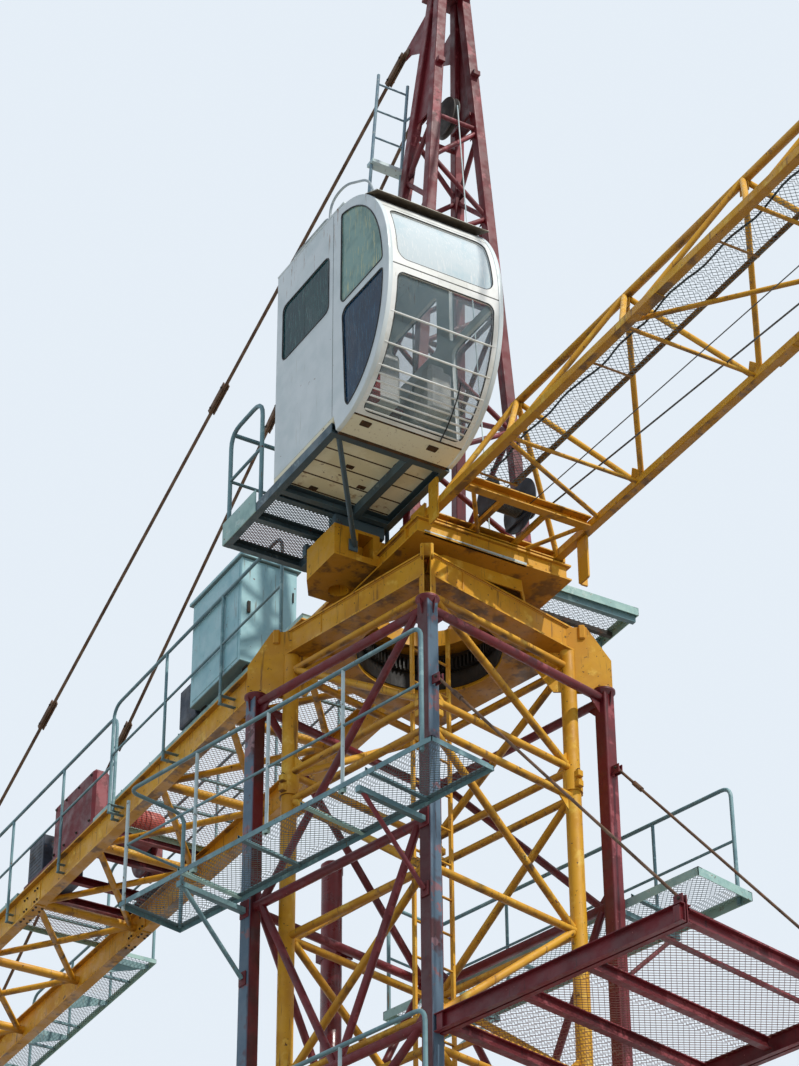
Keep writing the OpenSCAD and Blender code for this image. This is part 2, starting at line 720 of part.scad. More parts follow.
// Lacing of one jib side: a zigzag of tubes between a bottom chord and the top chord, cut to fit them.
module jib_side(s) {
    z = jz + jib_h - 12;
    color(steel) upper() difference() {
        union() {
            for (i = [0:bay_n - 1]) bar([jt(i) + 14, s*18, z], [jn(i) - 22, s*jib_w/2, jz], 24);
            for (i = [0:bay_n]) bar([jt(i) - 14, s*18, z],
                [i == 0 ? jroot + 60 : jn(i - 1) + 22, s*jib_w/2, jz], 24);
        }
        chord_boxes(seat);
        box(jroot, jroot + 80 + seat, -jib_w/2, jib_w/2, jz - jib_b/2 - seat, jz + jib_b/2 + seat);
        bar([0, 0, jz + jib_h], [jend, 0, jz + jib_h], (top_d/2 + seat)/cos(15), 12);
    }
}

// Struts and diagonals between the two bottom chords, a diagonal in every second bay.
module jib_bottom() {
    e = jib_w/2;
    color(steel) upper() difference() {
        for (i = [0:bay_n - 1]) {
            bar([jn(i), -e, jz], [jn(i), e, jz], 17);
            if (i % 2 == 1) bar([jn(i) + 60, -e, jz], [jn(i + 1) - 20, e, jz], 20);
            if (i == 0) bar([jn(0) - 30, -e, jz], [1660, e, jz], 20);
            if (i == bay_n - 1) bar([jend - 60, -e, jz], [jend - 60, e, jz], 30);
        }
        chord_boxes(seat);
    }
}

// Root of the jib: end beam, heavy channel cross-beam, braces, the bed of the winch and the stop plates.
module jib_root() {
    e = jib_w/2 - jib_b/2 - seat;
    b = jib_b/2;
    x = 1520;
    color(steel) upper() {
        box(jroot, jroot + 80, -e, e, jz - b, jz - b + 12);
        box(jroot, jroot + 10, -e, e, jz - b + 12, jz + b - 12);
        box(jroot, jroot + 80, -e, e, jz + b - 12, jz + b);
        box(x, x + 80, -e, e, jz - 50, jz - 38);
        box(x, x + 10, -e, e, jz - 38, jz + 38);
        box(x, x + 80, -e, e, jz + 38, jz + 50);
        for (k = [-200, 200]) box(jroot + 8, x + 6, k - 22, k + 22, jz - 20, jz + 20);
        bar([jroot + 40, -140, jz - 26], [x + 30, -e + 60, jz - 26], 18);
        bar([jroot + 40, 290, jz - 26], [x + 30, e - 30, jz - 26], 18);
        box(1110, 1250, -jib_w/2 - b - seat - 12, -jib_w/2 - b - seat, jz - 170, jz + 230);
        box(1330, 1470, jib_w/2 - 8, jib_w/2 + 8, jz - b - 410, jz - b - seat);
        box(1330, 1350, jib_w/2 + 8, jib_w/2 + 70, jz - b - 410, jz - b - seat);
    }
}

module jib_tip() {
    b = jib_b/2 + seat;
    color(steel) upper() {
        box(jend + seat, jend + 60, -jib_w/2 - b, jib_w/2 + b, jz - b, jz + b);
        box(jend + 60, jend + 200, -60, -40, jz - 80, jz + 80);
        box(jend + 60, jend + 200, 40, 60, jz - 80, jz + 80);
        translate([jend + 150, 0, jz]) rotate([90, 0, 0])
            cylinder(r = 110, h = 60, center = true, $fn = 48);
        bar([jend + 150, -50, jz], [jend + 150, 50, jz], 20, 32);
    }
}

// Grating strip beside the left chord of the jib.
module jib_walkway() {
    k0 = -jib_w/2 + jib_b/2 + 10;
    color(green) upper() {
        box(1640, jend - 120, k0, k0 + 380, jz + flat(20) + seat, jz + 30);
        box(1640, jend - 120, k0 + 350, k0 + 380, jz + 30, jz + 60);
    }
}

// Winch of the trolley rope on the bed at the jib root: drum between two discs, and its motor.
module trolley_winch() {
    z = jz + 20 + seat;
    j = 1285;
    color(dark) upper() {
        for (y = [-210, 90]) {
            box(j - 190, j + 190, y - 20, y + 40, z, z + 20);
            box(j - 60, j + 60, y, y + 20, z + 20, z + 60);
            bar([j, y, z + 150], [j, y + 22, z + 150], 150, 48);
        }
        bar([j, -190, z + 150], [j, 90, z + 150], 105, 48);
        bar([j, 112, z + 150], [j, 225, z + 150], 80, 48);
    }
}

// Trolley that runs under the bottom chords, parked part way out.
module trolley() {
    j = jn(5) + bay_l/2;
    z = jz - jib_b/2;
    r = 70;
    color(maroon) upper() {
        for (s = [-1, 1]) {
            k = s*jib_w/2;
            for (i = [-500, 500]) bar([j + i, k - 50, z - seat - r], [j + i, k + 50, z - seat - r], r, 48);
            box(j - 650, j + 650, k + s*55 - 6, k + s*55 + 6, z - 230, z - 20);
        }
        for (i = [-600, 0, 600])
            box(j + i - 40, j + i + 40, -jib_w/2 - 60, jib_w/2 + 60, z - 260, z - 180);
        for (i = [-fall_j - 158.3, fall_j + 158.3]) {
            bar([j + i, -30, z - 320], [j + i, 30, z - 320], 150, 48);
            box(j + i - 30, j + i + 30, -50, 50, z - 360, z - 200);
        }
        box(j - 600, j + 600, -60, -45, z - 300, z - 190);
        box(j - 600, j + 600, 45, 60, z - 300, z - 190);
    }
}

// Hook block hanging on its falls.
module hook_block() {
    j = jn(5) + bay_l/2;
    z = jz - 2900;
    color(maroon) upper() {
        for (y = [-52, 40]) box(j - 330, j + 330, y, y + 12, z - 120, z + 200);
        for (i = [-200, 200]) bar([j + i, -38, z + 60], [j + i, 38, z + 60], 150, 48);
        bar([j - 200, -55, z + 60], [j - 200, 55, z + 60], 30, 32);
        bar([j + 200, -55, z + 60], [j + 200, 55, z + 60], 30, 32);
        box(j - 90, j + 90, -60, 60, z - 260, z - 100);
        translate([j, 0, z - 560]) difference() {
            union() {
                rotate([90, 0, 0]) cylinder(r = 150, h = 60, center = true, $fn = 64);
                box(-35, 35, -30, 30, 100, 320);
            }
            rotate([90, 0, 0]) cylinder(r = 85, h = 70, center = true, $fn = 64);
            box(-160, -60, -40, 40, -20, 90);
        }
        for (i = [-fall_j, fall_j]) bar([j + i, 0, z + 60], [j + i, 0, jz - jib_b/2 - 320], 8);
    }
}

// Pendants from the tower head to the jib top chord.
module jib_ties() {
    z = hp(1, 1, 1)[2] + 250;
    t = jz + jib_h + top_d/2 + seat;
    color(dark) upper() for (s = [-1, 1]) {
        box(600, 745, s > 0 ? 122 + seat : -144, s > 0 ? 144 : -122 - seat, z - 60, z + 60);
        bar([730, s*133, z - 5], [jt(6), s*20, t + 70], 24);
        box(jt(6) - 60, jt(6) + 60, s > 0 ? 10 : -30, s > 0 ? 30 : -10, t, t + 110);
    }
}

// Two counter-jib girders.
module cj_girders() {
    color(steel) upper() for (s = [-1, 1]) {
        k = s*cj_w/2;
        box(cj_end, cj0, k - 55, k + 55, cz - cj_h/2, cz - cj_h/2 + 14);
        box(cj_end, cj0, k - 5, k + 5, cz - cj_h/2 + 14, cz + cj_h/2 - 14);
        box(cj_end, cj0, k - 55, k + 55, cz + cj_h/2 - 14, cz + cj_h/2);
    }
}

// Cross struts and crossed diagonals between the girders, cut to fit their webs.
module cj_bracing() {
    e = cj_w/2;
    n = 7;
    p = (cj_l - 1900)/n;
    color(steel) upper() difference() {
        union() {
            bar([cj_end + 60, -e, cz], [cj_end + 60, e, cz], 45);
            for (i = [0:n]) bar([cj0 - 200 - i*p, -e, cz], [cj0 - 200 - i*p, e, cz], 45);
            for (i = [0:n - 1], s = [-1, 1])
                bar([cj0 - 200 - i*p, -s*(e - 60), cz], [cj0 - 200 - (i + 1)*p, s*(e - 60), cz], 32);
        }
        for (s = [-1, 1]) box(cj_end, cj0, s*e - 5 - seat, s*e + 5 + seat, cz - cj_h/2, cz + cj_h/2);
    }
}

// Walkway decks: between the girders up to the hoist winch, and beside the right girder at the tail.
module cj_deck() {
    z = cj_top + seat + 60;
    x1 = cj_end + 1750;
    color(green) upper() {
        deck(-5180, cj0 - 20, -cj_w/2 - 40, cj_w/2 + 40, z, 60);
        deck(cj_far, -6900, -cj_w/2 - 40, cj_w/2 + 40, z, 60);
        deck(x1, cj_far - 20, cj_w/2 + 62, cj_w/2 + 62 + cj_side, z, 60);
        for (i = [0:3]) box(x1 + 60 + i*(cj_far - x1 - 200)/3, x1 + 120 + i*(cj_far - x1 - 200)/3,
            cj_w/2 + 55 + seat, cj_w/2 + 70, cz - 40, z - 10);
    }
}

module cj_rail(x0, x1, k, z0, z1) {
    n = ceil((x1 - x0)/1250);
    for (i = [0:n]) bar([x0 + (x1 - x0)*i/n, k, z0], [x0 + (x1 - x0)*i/n, k, z1], 17);
    for (h = [z1 - 520, z1]) bar([x0, k, h], [x1, k, h], h == z1 ? 19 : 14);
}

// Rails along the left girder from the cabinet to the tail, along the right girder, and outside the
// side walkway.
module cj_rails() {
    k = cj_w/2 + 55 + flat(17) + seat;
    t = cj_top + 930;
    x1 = cj_end + 1750;
    color(green) upper() {
        cj_rail(x1, -3400, -k, cz - 60, t);
        cj_rail(cj_far + 20, cj0 - 400, k, cz - 60, t);
        cj_rail(x1 + 20, cj_far - 40, cj_w/2 + 62 + cj_side - 30, cj_top + 60 + 2*seat, t);
    }
}

// Electric cabinet with a hipped lid, and a small box on its outer end.
module electric_cabinet() {
    z = cj_top + 60 + 2*seat;
    k = -cj_w/2 - 130;
    x0 = cj_cab0;
    x1 = cj_cab0 + cj_cab;
    color([0.55, 0.66, 0.70]) upper() {
        box(x0, x1, k, k + 560, z + 40, z + 1130);
        for (x = [x0 + 40, x1 - 120]) box(x, x + 80, -cj_w/2 - 40, k + 500, z, z + 40);
        box(x0 - 30, x1 + 30, k - 30, k + 590, z + 1130, z + 1165);
        box(x0 - 10, x1 + 10, k - 10, k + 570, z + 1165, z + 1195);
        for (x = [x0 + cj_cab/3, x0 + 2*cj_cab/3]) box(x - 14, x + 14, k - 12, k, z + 70, z + 1100);
        box(x0 - 330, x0, k + 60, k + 400, z, z + 400);
    }
}

// Hoist winch on its bed: drum, gearbox, motor and resistor box.
module hoist_winch() {
    z = cj_top + seat;
    j = cj_win;
    color(maroon) upper() {
        box(j - 800, j + 800, -cj_w/2 - 40, cj_w/2 + 40, z, z + 90);
        bar([j, -330, z + 400], [j, 330, z + 400], 210, 64);
        for (k = [-360, 330]) bar([j, k, z + 400], [j, k + 30, z + 400], 300, 64);
        box(j - 200, j + 700, -560, -390, z + 90, z + 710);
        box(j - 120, j + 120, 390, 480, z + 90, z + 460);
        bar([j + 520, -400, z + 330], [j + 520, 250, z + 330], 150, 48);
        box(j + 440, j + 600, -250, 150, z + 90, z + 240);
        bar([j, -400, z + 400], [j, 400, z + 400], 50, 48);
        box(j - 760, j - 420, -560, -120, z + 90, z + 520);
    }
}

// Concrete counterweight slabs hung between the girders at the tail.
module counterweights() {
    z = cz + cj_h/2 + seat;
    x = cj_end + 150;
    color([0.6, 0.58, 0.54]) upper() for (i = [0:3]) {
        box(x + i*340, x + i*340 + 300, -cj_w/2 + 70, cj_w/2 - 70, z - 1500, z + 60);
        box(x + i*340, x + i*340 + 300, -cj_w/2 - 40, cj_w/2 + 40, z, z + 200);
    }
}

// Rods from the tower head to the tail of the counter-jib, in three lengths with link plates between.
module cj_ties() {
    e = [cj_end + 1600, cj_w/2, cj_top + 60];
    k = hp(1, 1, 0.94)[1] + 8 + seat;
    a = [tie_j - 5, k + 26, tie_z];
    color(dark) upper() for (m = [0, 1]) mirror([0, m, 0]) {
        box(tie_j - 60, tie_j + 40, k, k + 20, tie_z - 40, tie_z + 40);
        bar(a, e, 22);
        for (t = [0.04, 0.35, 0.66]) {
            c = a + (e - a)*t;
            d = (e - a)/norm(e - a)*190;
            post(c - d, c + d, 60);
        }
        box(e[0] - 60, e[0] + 60, e[1] - 10, e[1] + 10, cj_top + seat, e[2] + 40);
    }
}

base_frame();
mast_chords();
color(steel) mast_side();  // mast_side_front
color(steel) rotate([0, 0, 90]) mast_side();  // mast_side_right
color(steel) rotate([0, 0, 180]) mast_side();  // mast_side_back
color(steel) rotate([0, 0, 270]) mast_side();  // mast_side_left
mast_ladder();
slewing_support();
corner_wings();
ring_lower();
cage_posts();
color(maroon) cage_side();  // cage_side_front
cage_side_right();
color(maroon) rotate([0, 0, 180]) cage_side();  // cage_side_back
color(maroon) rotate([0, 0, 270]) cage_side();  // cage_side_left
climbing_cylinder();
cage_decks();
cage_rails();
intro_platform();
intro_guys();
ring_upper();
turntable();
side_deck();
head_side(-1);  // head_side_left
head_side(1);  // head_side_right
head_braces();
head_top();
head_ladder();
cab_platform();
cab_rails();
cab_floor();
cab_walls();
cab_roof();
cab_front();
cab_windscreen();
cab_glass();
cab_seat();
jib_chords();
jib_side(-1);  // jib_side_left
jib_side(1);  // jib_side_right
jib_bottom();
jib_root();
jib_tip();
jib_walkway();
trolley_winch();
trolley();
hook_block();
jib_ties();
cj_girders();
cj_bracing();
cj_deck();
cj_rails();
electric_cabinet();
hoist_winch();
counterweights();
cj_ties();
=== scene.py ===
import math
import random

import bmesh
import bpy
from mathutils import Matrix, Vector


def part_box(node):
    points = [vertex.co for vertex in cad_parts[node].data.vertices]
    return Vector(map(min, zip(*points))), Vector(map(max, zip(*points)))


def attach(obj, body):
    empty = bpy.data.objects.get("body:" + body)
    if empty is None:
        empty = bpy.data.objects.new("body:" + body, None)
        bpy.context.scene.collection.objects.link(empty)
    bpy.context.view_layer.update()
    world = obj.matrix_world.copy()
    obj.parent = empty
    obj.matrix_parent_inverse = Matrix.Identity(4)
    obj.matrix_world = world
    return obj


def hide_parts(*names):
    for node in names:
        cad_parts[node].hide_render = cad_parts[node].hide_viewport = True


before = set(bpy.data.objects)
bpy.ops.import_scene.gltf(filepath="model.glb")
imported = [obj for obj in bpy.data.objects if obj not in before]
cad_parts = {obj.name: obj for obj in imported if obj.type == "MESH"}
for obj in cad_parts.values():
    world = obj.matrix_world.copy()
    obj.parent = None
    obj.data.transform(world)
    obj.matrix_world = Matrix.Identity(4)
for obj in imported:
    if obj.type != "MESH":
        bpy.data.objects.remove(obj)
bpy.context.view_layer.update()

# Studio: a pale floor, a high sun from the front and the right, soft sky light and a pale background.
# The camera stands on the ground near the foot of the mast and looks up at the cab and the turntable.
scene = bpy.context.scene
scene.view_settings.view_transform = "Standard"

camera_data = bpy.data.cameras.new("camera")
camera_data.lens = 103.4
camera_data.sensor_width = 36
camera_data.clip_end = 300
camera = bpy.data.objects.new("camera", camera_data)
camera.location = (15.106, -14.935, 1.756)
camera.rotation_euler = (2.174739, 0.005365, 0.805943)
scene.collection.objects.link(camera)
scene.camera = camera


def tone(red, green, blue):
    """A colour as it is seen, from 0 to 1, turned into the linear values that a shader takes."""
    return tuple(c/12.92 if c < 0.04 else ((c + 0.055)/1.055)**2.4 for c in (red, green, blue)) + (1,)


def add(tree, kind, **settings):
    item = tree.nodes.new(kind)
    for name, value in settings.items():
        setattr(item, name, value)
    return item


def seen_directly(tree):
    """1 for rays that come straight from the camera, off gloss or through glass, and 0 for the light itself."""
    path = add(tree, "ShaderNodeLightPath")
    share = path.outputs["Is Camera Ray"]
    for kind in ("Is Glossy Ray", "Is Transmission Ray"):
        either = add(tree, "ShaderNodeMath", operation="MAXIMUM")
        tree.links.new(share, either.inputs[0])
        tree.links.new(path.outputs[kind], either.inputs[1])
        share = either.outputs[0]
    return share


sky = bpy.data.worlds.new("sky")
sky.use_nodes = True
scene.world = sky
sky_light = sky.node_tree.nodes["Background"]
sky_light.inputs["Color"].default_value = tone(0.86, 0.92, 1.0)
sky_light.inputs["Strength"].default_value = 0.6
sky_seen = add(sky.node_tree, "ShaderNodeBackground")
sky_seen.inputs["Color"].default_value = tone(0.90, 0.935, 0.97)
sky_mix = add(sky.node_tree, "ShaderNodeMixShader")
sky.node_tree.links.new(seen_directly(sky.node_tree), sky_mix.inputs[0])
sky.node_tree.links.new(sky_light.outputs[0], sky_mix.inputs[1])
sky.node_tree.links.new(sky_seen.outputs[0], sky_mix.inputs[2])
sky.node_tree.links.new(sky_mix.outputs[0], sky.node_tree.nodes["World Output"].inputs["Surface"])

sun_data = bpy.data.lights.new("sun", "SUN")
sun_data.energy = 2.9
sun_data.angle = 0.02
sun_data.color = (1.0, 0.97, 0.91)
sun = bpy.data.objects.new("sun", sun_data)
sun.rotation_euler = Vector((0.62, 0.02, 0.72)).to_track_quat("Z", "Y").to_euler()
scene.collection.objects.link(sun)

floor_finish = bpy.data.materials.new("floor")
floor_finish.use_nodes = True
floor_tree = floor_finish.node_tree
floor_pale = floor_tree.nodes["Principled BSDF"]
floor_pale.inputs["Base Color"].default_value = tone(0.88, 0.89, 0.88)
floor_pale.inputs["Roughness"].default_value = 0.9
floor_dim = add(floor_tree, "ShaderNodeBsdfDiffuse")
floor_dim.inputs["Color"].default_value = (0.36, 0.34, 0.29, 1)
floor_mix = add(floor_tree, "ShaderNodeMixShader")
floor_tree.links.new(seen_directly(floor_tree), floor_mix.inputs[0])
floor_tree.links.new(floor_dim.outputs[0], floor_mix.inputs[1])
floor_tree.links.new(floor_pale.outputs[0], floor_mix.inputs[2])
floor_tree.links.new(floor_mix.outputs[0], floor_tree.nodes["Material Output"].inputs["Surface"])
floor_mesh = bpy.data.meshes.new("floor")
floor_mesh.from_pydata([(-70, -70, -0.002), (70, -70, -0.002), (70, 70, -0.002), (-70, 70, -0.002)],
                       [], [(0, 1, 2, 3)])
floor_mesh.materials.append(floor_finish)
floor = bpy.data.objects.new("floor", floor_mesh)
scene.collection.objects.link(floor)

# Base frame: two crossed beams on the ground with a foot plate under each mast chord.
# Welded plate, painted yellow with the rest of the mast, and bolted down at each foot.


def mask(tree, scale, low, high, stretch=(1, 1, 1), detail=4):
    """Patches of noise on Object coordinates: 0 below low and 1 above high."""
    place = add(tree, "ShaderNodeTexCoord")
    turn = add(tree, "ShaderNodeMapping")
    turn.inputs["Scale"].default_value = stretch
    noise = add(tree, "ShaderNodeTexNoise")
    noise.inputs["Scale"].default_value = scale
    noise.inputs["Detail"].default_value = detail
    noise.inputs["Roughness"].default_value = 0.65
    level = add(tree, "ShaderNodeMapRange", interpolation_type="SMOOTHSTEP")
    level.inputs["From Min"].default_value = low
    level.inputs["From Max"].default_value = high
    tree.links.new(place.outputs["Object"], turn.inputs["Vector"])
    tree.links.new(turn.outputs["Vector"], noise.inputs["Vector"])
    tree.links.new(noise.outputs["Fac"], level.inputs["Value"])
    return level.outputs["Result"]


def facing(tree, axis, low, high, kind="Normal"):
    """1 on faces whose own normal points along an axis, such as -Z for undersides, fading to 0.
    With the kind Object it is 1 for places that lie far enough along the axis."""
    place = add(tree, "ShaderNodeTexCoord")
    along = add(tree, "ShaderNodeVectorMath", operation="DOT_PRODUCT")
    along.inputs[1].default_value = axis
    level = add(tree, "ShaderNodeMapRange")
    level.inputs["From Min"].default_value = low
    level.inputs["From Max"].default_value = high
    tree.links.new(place.outputs[kind], along.inputs[0])
    tree.links.new(along.outputs["Value"], level.inputs["Value"])
    return level.outputs["Result"]


def both(tree, one, other):
    product = add(tree, "ShaderNodeMath", operation="MULTIPLY")
    tree.links.new(one, product.inputs[0])
    tree.links.new(other, product.inputs[1])
    return product.outputs[0]


def coloured(tree, layers, ground):
    """A colour built up in layers: each is a mask and the colour that it lays over what is below."""
    result = None
    for share, colour in layers:
        mix = add(tree, "ShaderNodeMix", data_type="RGBA")
        tree.links.new(share, mix.inputs["Factor"])
        if result is None:
            mix.inputs[6].default_value = ground
        else:
            tree.links.new(result, mix.inputs[6])
        mix.inputs[7].default_value = colour
        result = mix.outputs[2]
    return result


def finish(name, ground, layers, rough=0.55, metal=0.0, grain=90, bump=0.08, gloss=0.5):
    """A procedural finish: layers is a function that takes the tree and returns its masks and colours."""
    made = bpy.data.materials.new(name)
    made.use_nodes = True
    tree = made.node_tree
    shader = tree.nodes["Principled BSDF"]
    tree.links.new(coloured(tree, layers(tree), ground), shader.inputs["Base Color"])
    shader.inputs["Metallic"].default_value = metal
    shader.inputs["Specular IOR Level"].default_value = gloss
    sheen = add(tree, "ShaderNodeMapRange")
    sheen.inputs["To Min"].default_value = rough - 0.12
    sheen.inputs["To Max"].default_value = rough + 0.15
    tree.links.new(mask(tree, 7, 0.35, 0.65), sheen.inputs["Value"])
    tree.links.new(sheen.outputs["Result"], shader.inputs["Roughness"])
    relief = add(tree, "ShaderNodeBump")
    relief.inputs["Strength"].default_value = bump
    relief.inputs["Distance"].default_value = 0.004
    tree.links.new(mask(tree, grain, 0.2, 0.8), relief.inputs["Height"])
    tree.links.new(relief.outputs["Normal"], shader.inputs["Normal"])
    return made


UP = (0, 0, 1)
DOWN = (0, 0, -1)
RUST = tone(0.36, 0.17, 0.07)
GRIME = tone(0.27, 0.18, 0.09)
RUNS = (9, 9, 0.7)

yellow_paint = finish("yellow_paint", tone(0.87, 0.64, 0.12), lambda tree: [
    (mask(tree, 1.6, 0.45, 0.62), tone(0.81, 0.57, 0.09)),
    (mask(tree, 5.0, 0.56, 0.68), tone(0.92, 0.74, 0.28)),
    # Undersides darker: painted shade.
    (facing(tree, DOWN, 0.2, 0.9), tone(0.66, 0.45, 0.07)),
    (mask(tree, 2.2, 0.57, 0.72, RUNS), tone(0.55, 0.37, 0.11)),
    # Dark blotches on undersides: partly grime, partly painted shade.
    (both(tree, facing(tree, DOWN, 0.3, 0.9), mask(tree, 3.4, 0.50, 0.62)), tone(0.40, 0.26, 0.08)),
    (mask(tree, 26, 0.65, 0.69), tone(0.36, 0.22, 0.08)),
    (mask(tree, 4.2, 0.66, 0.72), GRIME),
    (mask(tree, 9, 0.69, 0.74), RUST),
])


def surface(node_name, made):
    """Gives a CAD node that stays in view its finish."""
    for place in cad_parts[node_name].material_slots:
        place.material = made


def plain_mesh(name, points, faces, made, smooth=False):
    mesh = bpy.data.meshes.new(name)
    mesh.from_pydata(points, [], faces)
    mesh.materials.append(made)
    mesh.polygons.foreach_set("use_smooth", [smooth]*len(mesh.polygons))
    return mesh


def rolled(outline, start, end, side, made, smooth=False):
    """A straight length of steel: its outline, drawn along side and square to it, run from start to end."""
    start, end, side = Vector(start), Vector(end), Vector(side)
    along = (end - start).normalized()
    across = (side - along*side.dot(along)).normalized()
    up = along.cross(across)
    n = len(outline)
    points = [end_point + across*a + up*b for end_point in (start, end) for a, b in outline]
    sides = [(i, (i + 1) % n, (i + 1) % n + n, i + n) for i in range(n)]
    caps = [tuple(range(n - 1, -1, -1)), tuple(range(n, 2*n))]
    mesh = plain_mesh("rolled", points, sides + caps, made)
    if smooth:
        mesh.polygons.foreach_set("use_smooth", [True]*n + [False]*2)
    return mesh


def pipe(radius, n=20):
    return [(radius*math.cos(math.tau*i/n), radius*math.sin(math.tau*i/n)) for i in range(n)]


def square_tube(width, depth=None, corner=0.012, steps=3):
    """Outline of a rolled square or oblong tube with round corners."""
    half = (width/2 - corner, (depth or width)/2 - corner)
    return [(sx*half[0] + corner*math.cos(a), sy*half[1] + corner*math.sin(a))
            for q, (sx, sy) in enumerate([(1, 1), (-1, 1), (-1, -1), (1, -1)])
            for a in [math.pi/2*(q + i/steps) for i in range(steps + 1)]]


def flat_bar(width, thick):
    w, t = width/2, thick/2
    return [(w, t), (-w, t), (-w, -t), (w, -t)]


def angle_iron(a, b, thick):
    """Outline of an angle: the corner at the origin, one leg along each direction."""
    return [(0, 0), (a, 0), (a, thick), (thick, thick), (thick, b), (0, b)]


def channel_iron(depth, flange, thick):
    """Outline of a channel: its back on the first axis at 0, and its flanges pointing along it."""
    h = depth/2
    return [(0, -h), (flange, -h), (flange, thick - h), (thick, thick - h), (thick, h - thick),
            (flange, h - thick), (flange, h), (0, h)]


def beam_iron(depth, width, web, flange):
    """Outline of a rolled beam, standing along the second axis."""
    h, w, t = depth/2, width/2, web/2
    return [(-w, -h), (w, -h), (w, flange - h), (t, flange - h), (t, h - flange), (w, h - flange),
            (w, h), (-w, h), (-w, h - flange), (-t, h - flange), (-t, flange - h), (-w, flange - h)]


def block(low, high, made, chamfer=0.003):
    """A plate or block with softened edges."""
    shape = bmesh.new()
    bmesh.ops.create_cube(shape, size=1)
    size = [b - a for a, b in zip(low, high)]
    middle = [(a + b)/2 for a, b in zip(low, high)]
    bmesh.ops.scale(shape, vec=size, verts=shape.verts)
    bmesh.ops.translate(shape, vec=middle, verts=shape.verts)
    edge = min(chamfer, min(size)/4)
    bmesh.ops.bevel(shape, geom=shape.edges[:], offset=edge, segments=1, affect="EDGES")
    mesh = bpy.data.meshes.new("block")
    shape.to_mesh(mesh)
    shape.free()
    mesh.materials.append(made)
    return mesh


def plate(outline, thick, place, made):
    """A flat plate cut to an outline, from its face at place's origin up to its thickness."""
    n = len(outline)
    turning = sum(outline[i - 1][0]*outline[i][1] - outline[i][0]*outline[i - 1][1] for i in range(n))
    if turning < 0:
        outline = outline[::-1]
    points = [(x, y, z) for z in (0, thick) for x, y in outline]
    sides = [(i, (i + 1) % n, (i + 1) % n + n, i + n) for i in range(n)]
    mesh = plain_mesh("plate", points, sides + [tuple(range(n - 1, -1, -1)), tuple(range(n, 2*n))], made)
    mesh.transform(place)
    return mesh


def spun(profile, n, place, made):
    """A turned piece: profile is (radius, height) from its foot up, spun about place's Z axis."""
    points = [(r*math.cos(math.tau*i/n), r*math.sin(math.tau*i/n), z) for r, z in profile for i in range(n)]
    faces = [(k*n + i, k*n + (i + 1) % n, (k + 1)*n + (i + 1) % n, (k + 1)*n + i)
             for k in range(len(profile) - 1) for i in range(n)]
    last = (len(profile) - 1)*n
    faces += [tuple(range(n - 1, -1, -1)), tuple(range(last, last + n))]
    mesh = plain_mesh("spun", points, faces, made, smooth=True)
    mesh.set_sharp_from_angle(angle=math.radians(35))
    mesh.transform(place)
    return mesh


def pointing(place, direction):
    """A matrix that puts the origin at place and the Z axis along direction."""
    return Matrix.Translation(place) @ Vector(direction).to_track_quat("Z", "X").to_matrix().to_4x4()


def made_by(tree, lines, inputs):
    """Runs a Geometry Nodes tree on a mesh with the inputs given by name, and returns one plain mesh."""
    holder = bpy.data.objects.new("holder", lines)
    scene.collection.objects.link(holder)
    step = holder.modifiers.new("make", "NODES")
    step.node_group = tree
    for socket in tree.interface.items_tree:
        if socket.in_out == "INPUT" and socket.name in inputs:
            step[socket.identifier] = inputs[socket.name]
    ready = holder.evaluated_get(bpy.context.evaluated_depsgraph_get())
    mesh = bpy.data.meshes.new_from_object(ready)
    holder.modifiers.remove(step)
    bpy.data.objects.remove(holder)
    mesh.set_sharp_from_angle(angle=math.radians(50))
    return mesh


def new_tree(name, sockets):
    """An empty Geometry Nodes tree with named inputs; returns it with its input and output nodes."""
    tree = bpy.data.node_groups.new(name, "GeometryNodeTree")
    for label, kind in sockets:
        tree.interface.new_socket(label, in_out="INPUT", socket_type="NodeSocket" + kind)
    tree.interface.new_socket("Steel", in_out="OUTPUT", socket_type="NodeSocketGeometry")
    return tree, add(tree, "NodeGroupInput"), add(tree, "NodeGroupOutput")


def bolt_tree():
    """A washer and a hexagon head with the end of its thread, set on each point along its Axis."""
    tree, given, out = new_tree("bolts_on_points", [
        ("Points", "Geometry"), ("Size", "Float"), ("Finish", "Material")])
    link = tree.links.new
    parts = add(tree, "GeometryNodeJoinGeometry")
    for sides, radius, depth, lift in ((12, 1.15, 0.18, 0.09), (6, 0.92, 0.62, 0.45), (8, 0.5, 0.45, 0.9)):
        cylinder = add(tree, "GeometryNodeMeshCylinder")
        cylinder.inputs["Vertices"].default_value = sides
        cylinder.inputs["Radius"].default_value = radius
        cylinder.inputs["Depth"].default_value = depth
        shift = add(tree, "GeometryNodeTransform")
        shift.inputs["Translation"].default_value = (0, 0, lift)
        link(cylinder.outputs["Mesh"], shift.inputs["Geometry"])
        link(shift.outputs["Geometry"], parts.inputs["Geometry"])
    axis = add(tree, "GeometryNodeInputNamedAttribute", data_type="FLOAT_VECTOR")
    axis.inputs["Name"].default_value = "axis"
    aim = add(tree, "FunctionNodeAlignRotationToVector", axis="Z")
    link(axis.outputs["Attribute"], aim.inputs["Vector"])
    heads = add(tree, "GeometryNodeInstanceOnPoints")
    link(given.outputs["Points"], heads.inputs["Points"])
    link(parts.outputs["Geometry"], heads.inputs["Instance"])
    link(aim.outputs["Rotation"], heads.inputs["Rotation"])
    link(given.outputs["Size"], heads.inputs["Scale"])
    real = add(tree, "GeometryNodeRealizeInstances")
    link(heads.outputs["Instances"], real.inputs["Geometry"])
    coat = add(tree, "GeometryNodeSetMaterial")
    link(real.outputs["Geometry"], coat.inputs["Geometry"])
    link(given.outputs["Finish"], coat.inputs["Material"])
    link(coat.outputs["Geometry"], out.inputs["Steel"])
    return tree


bolts_on_points = bolt_tree()


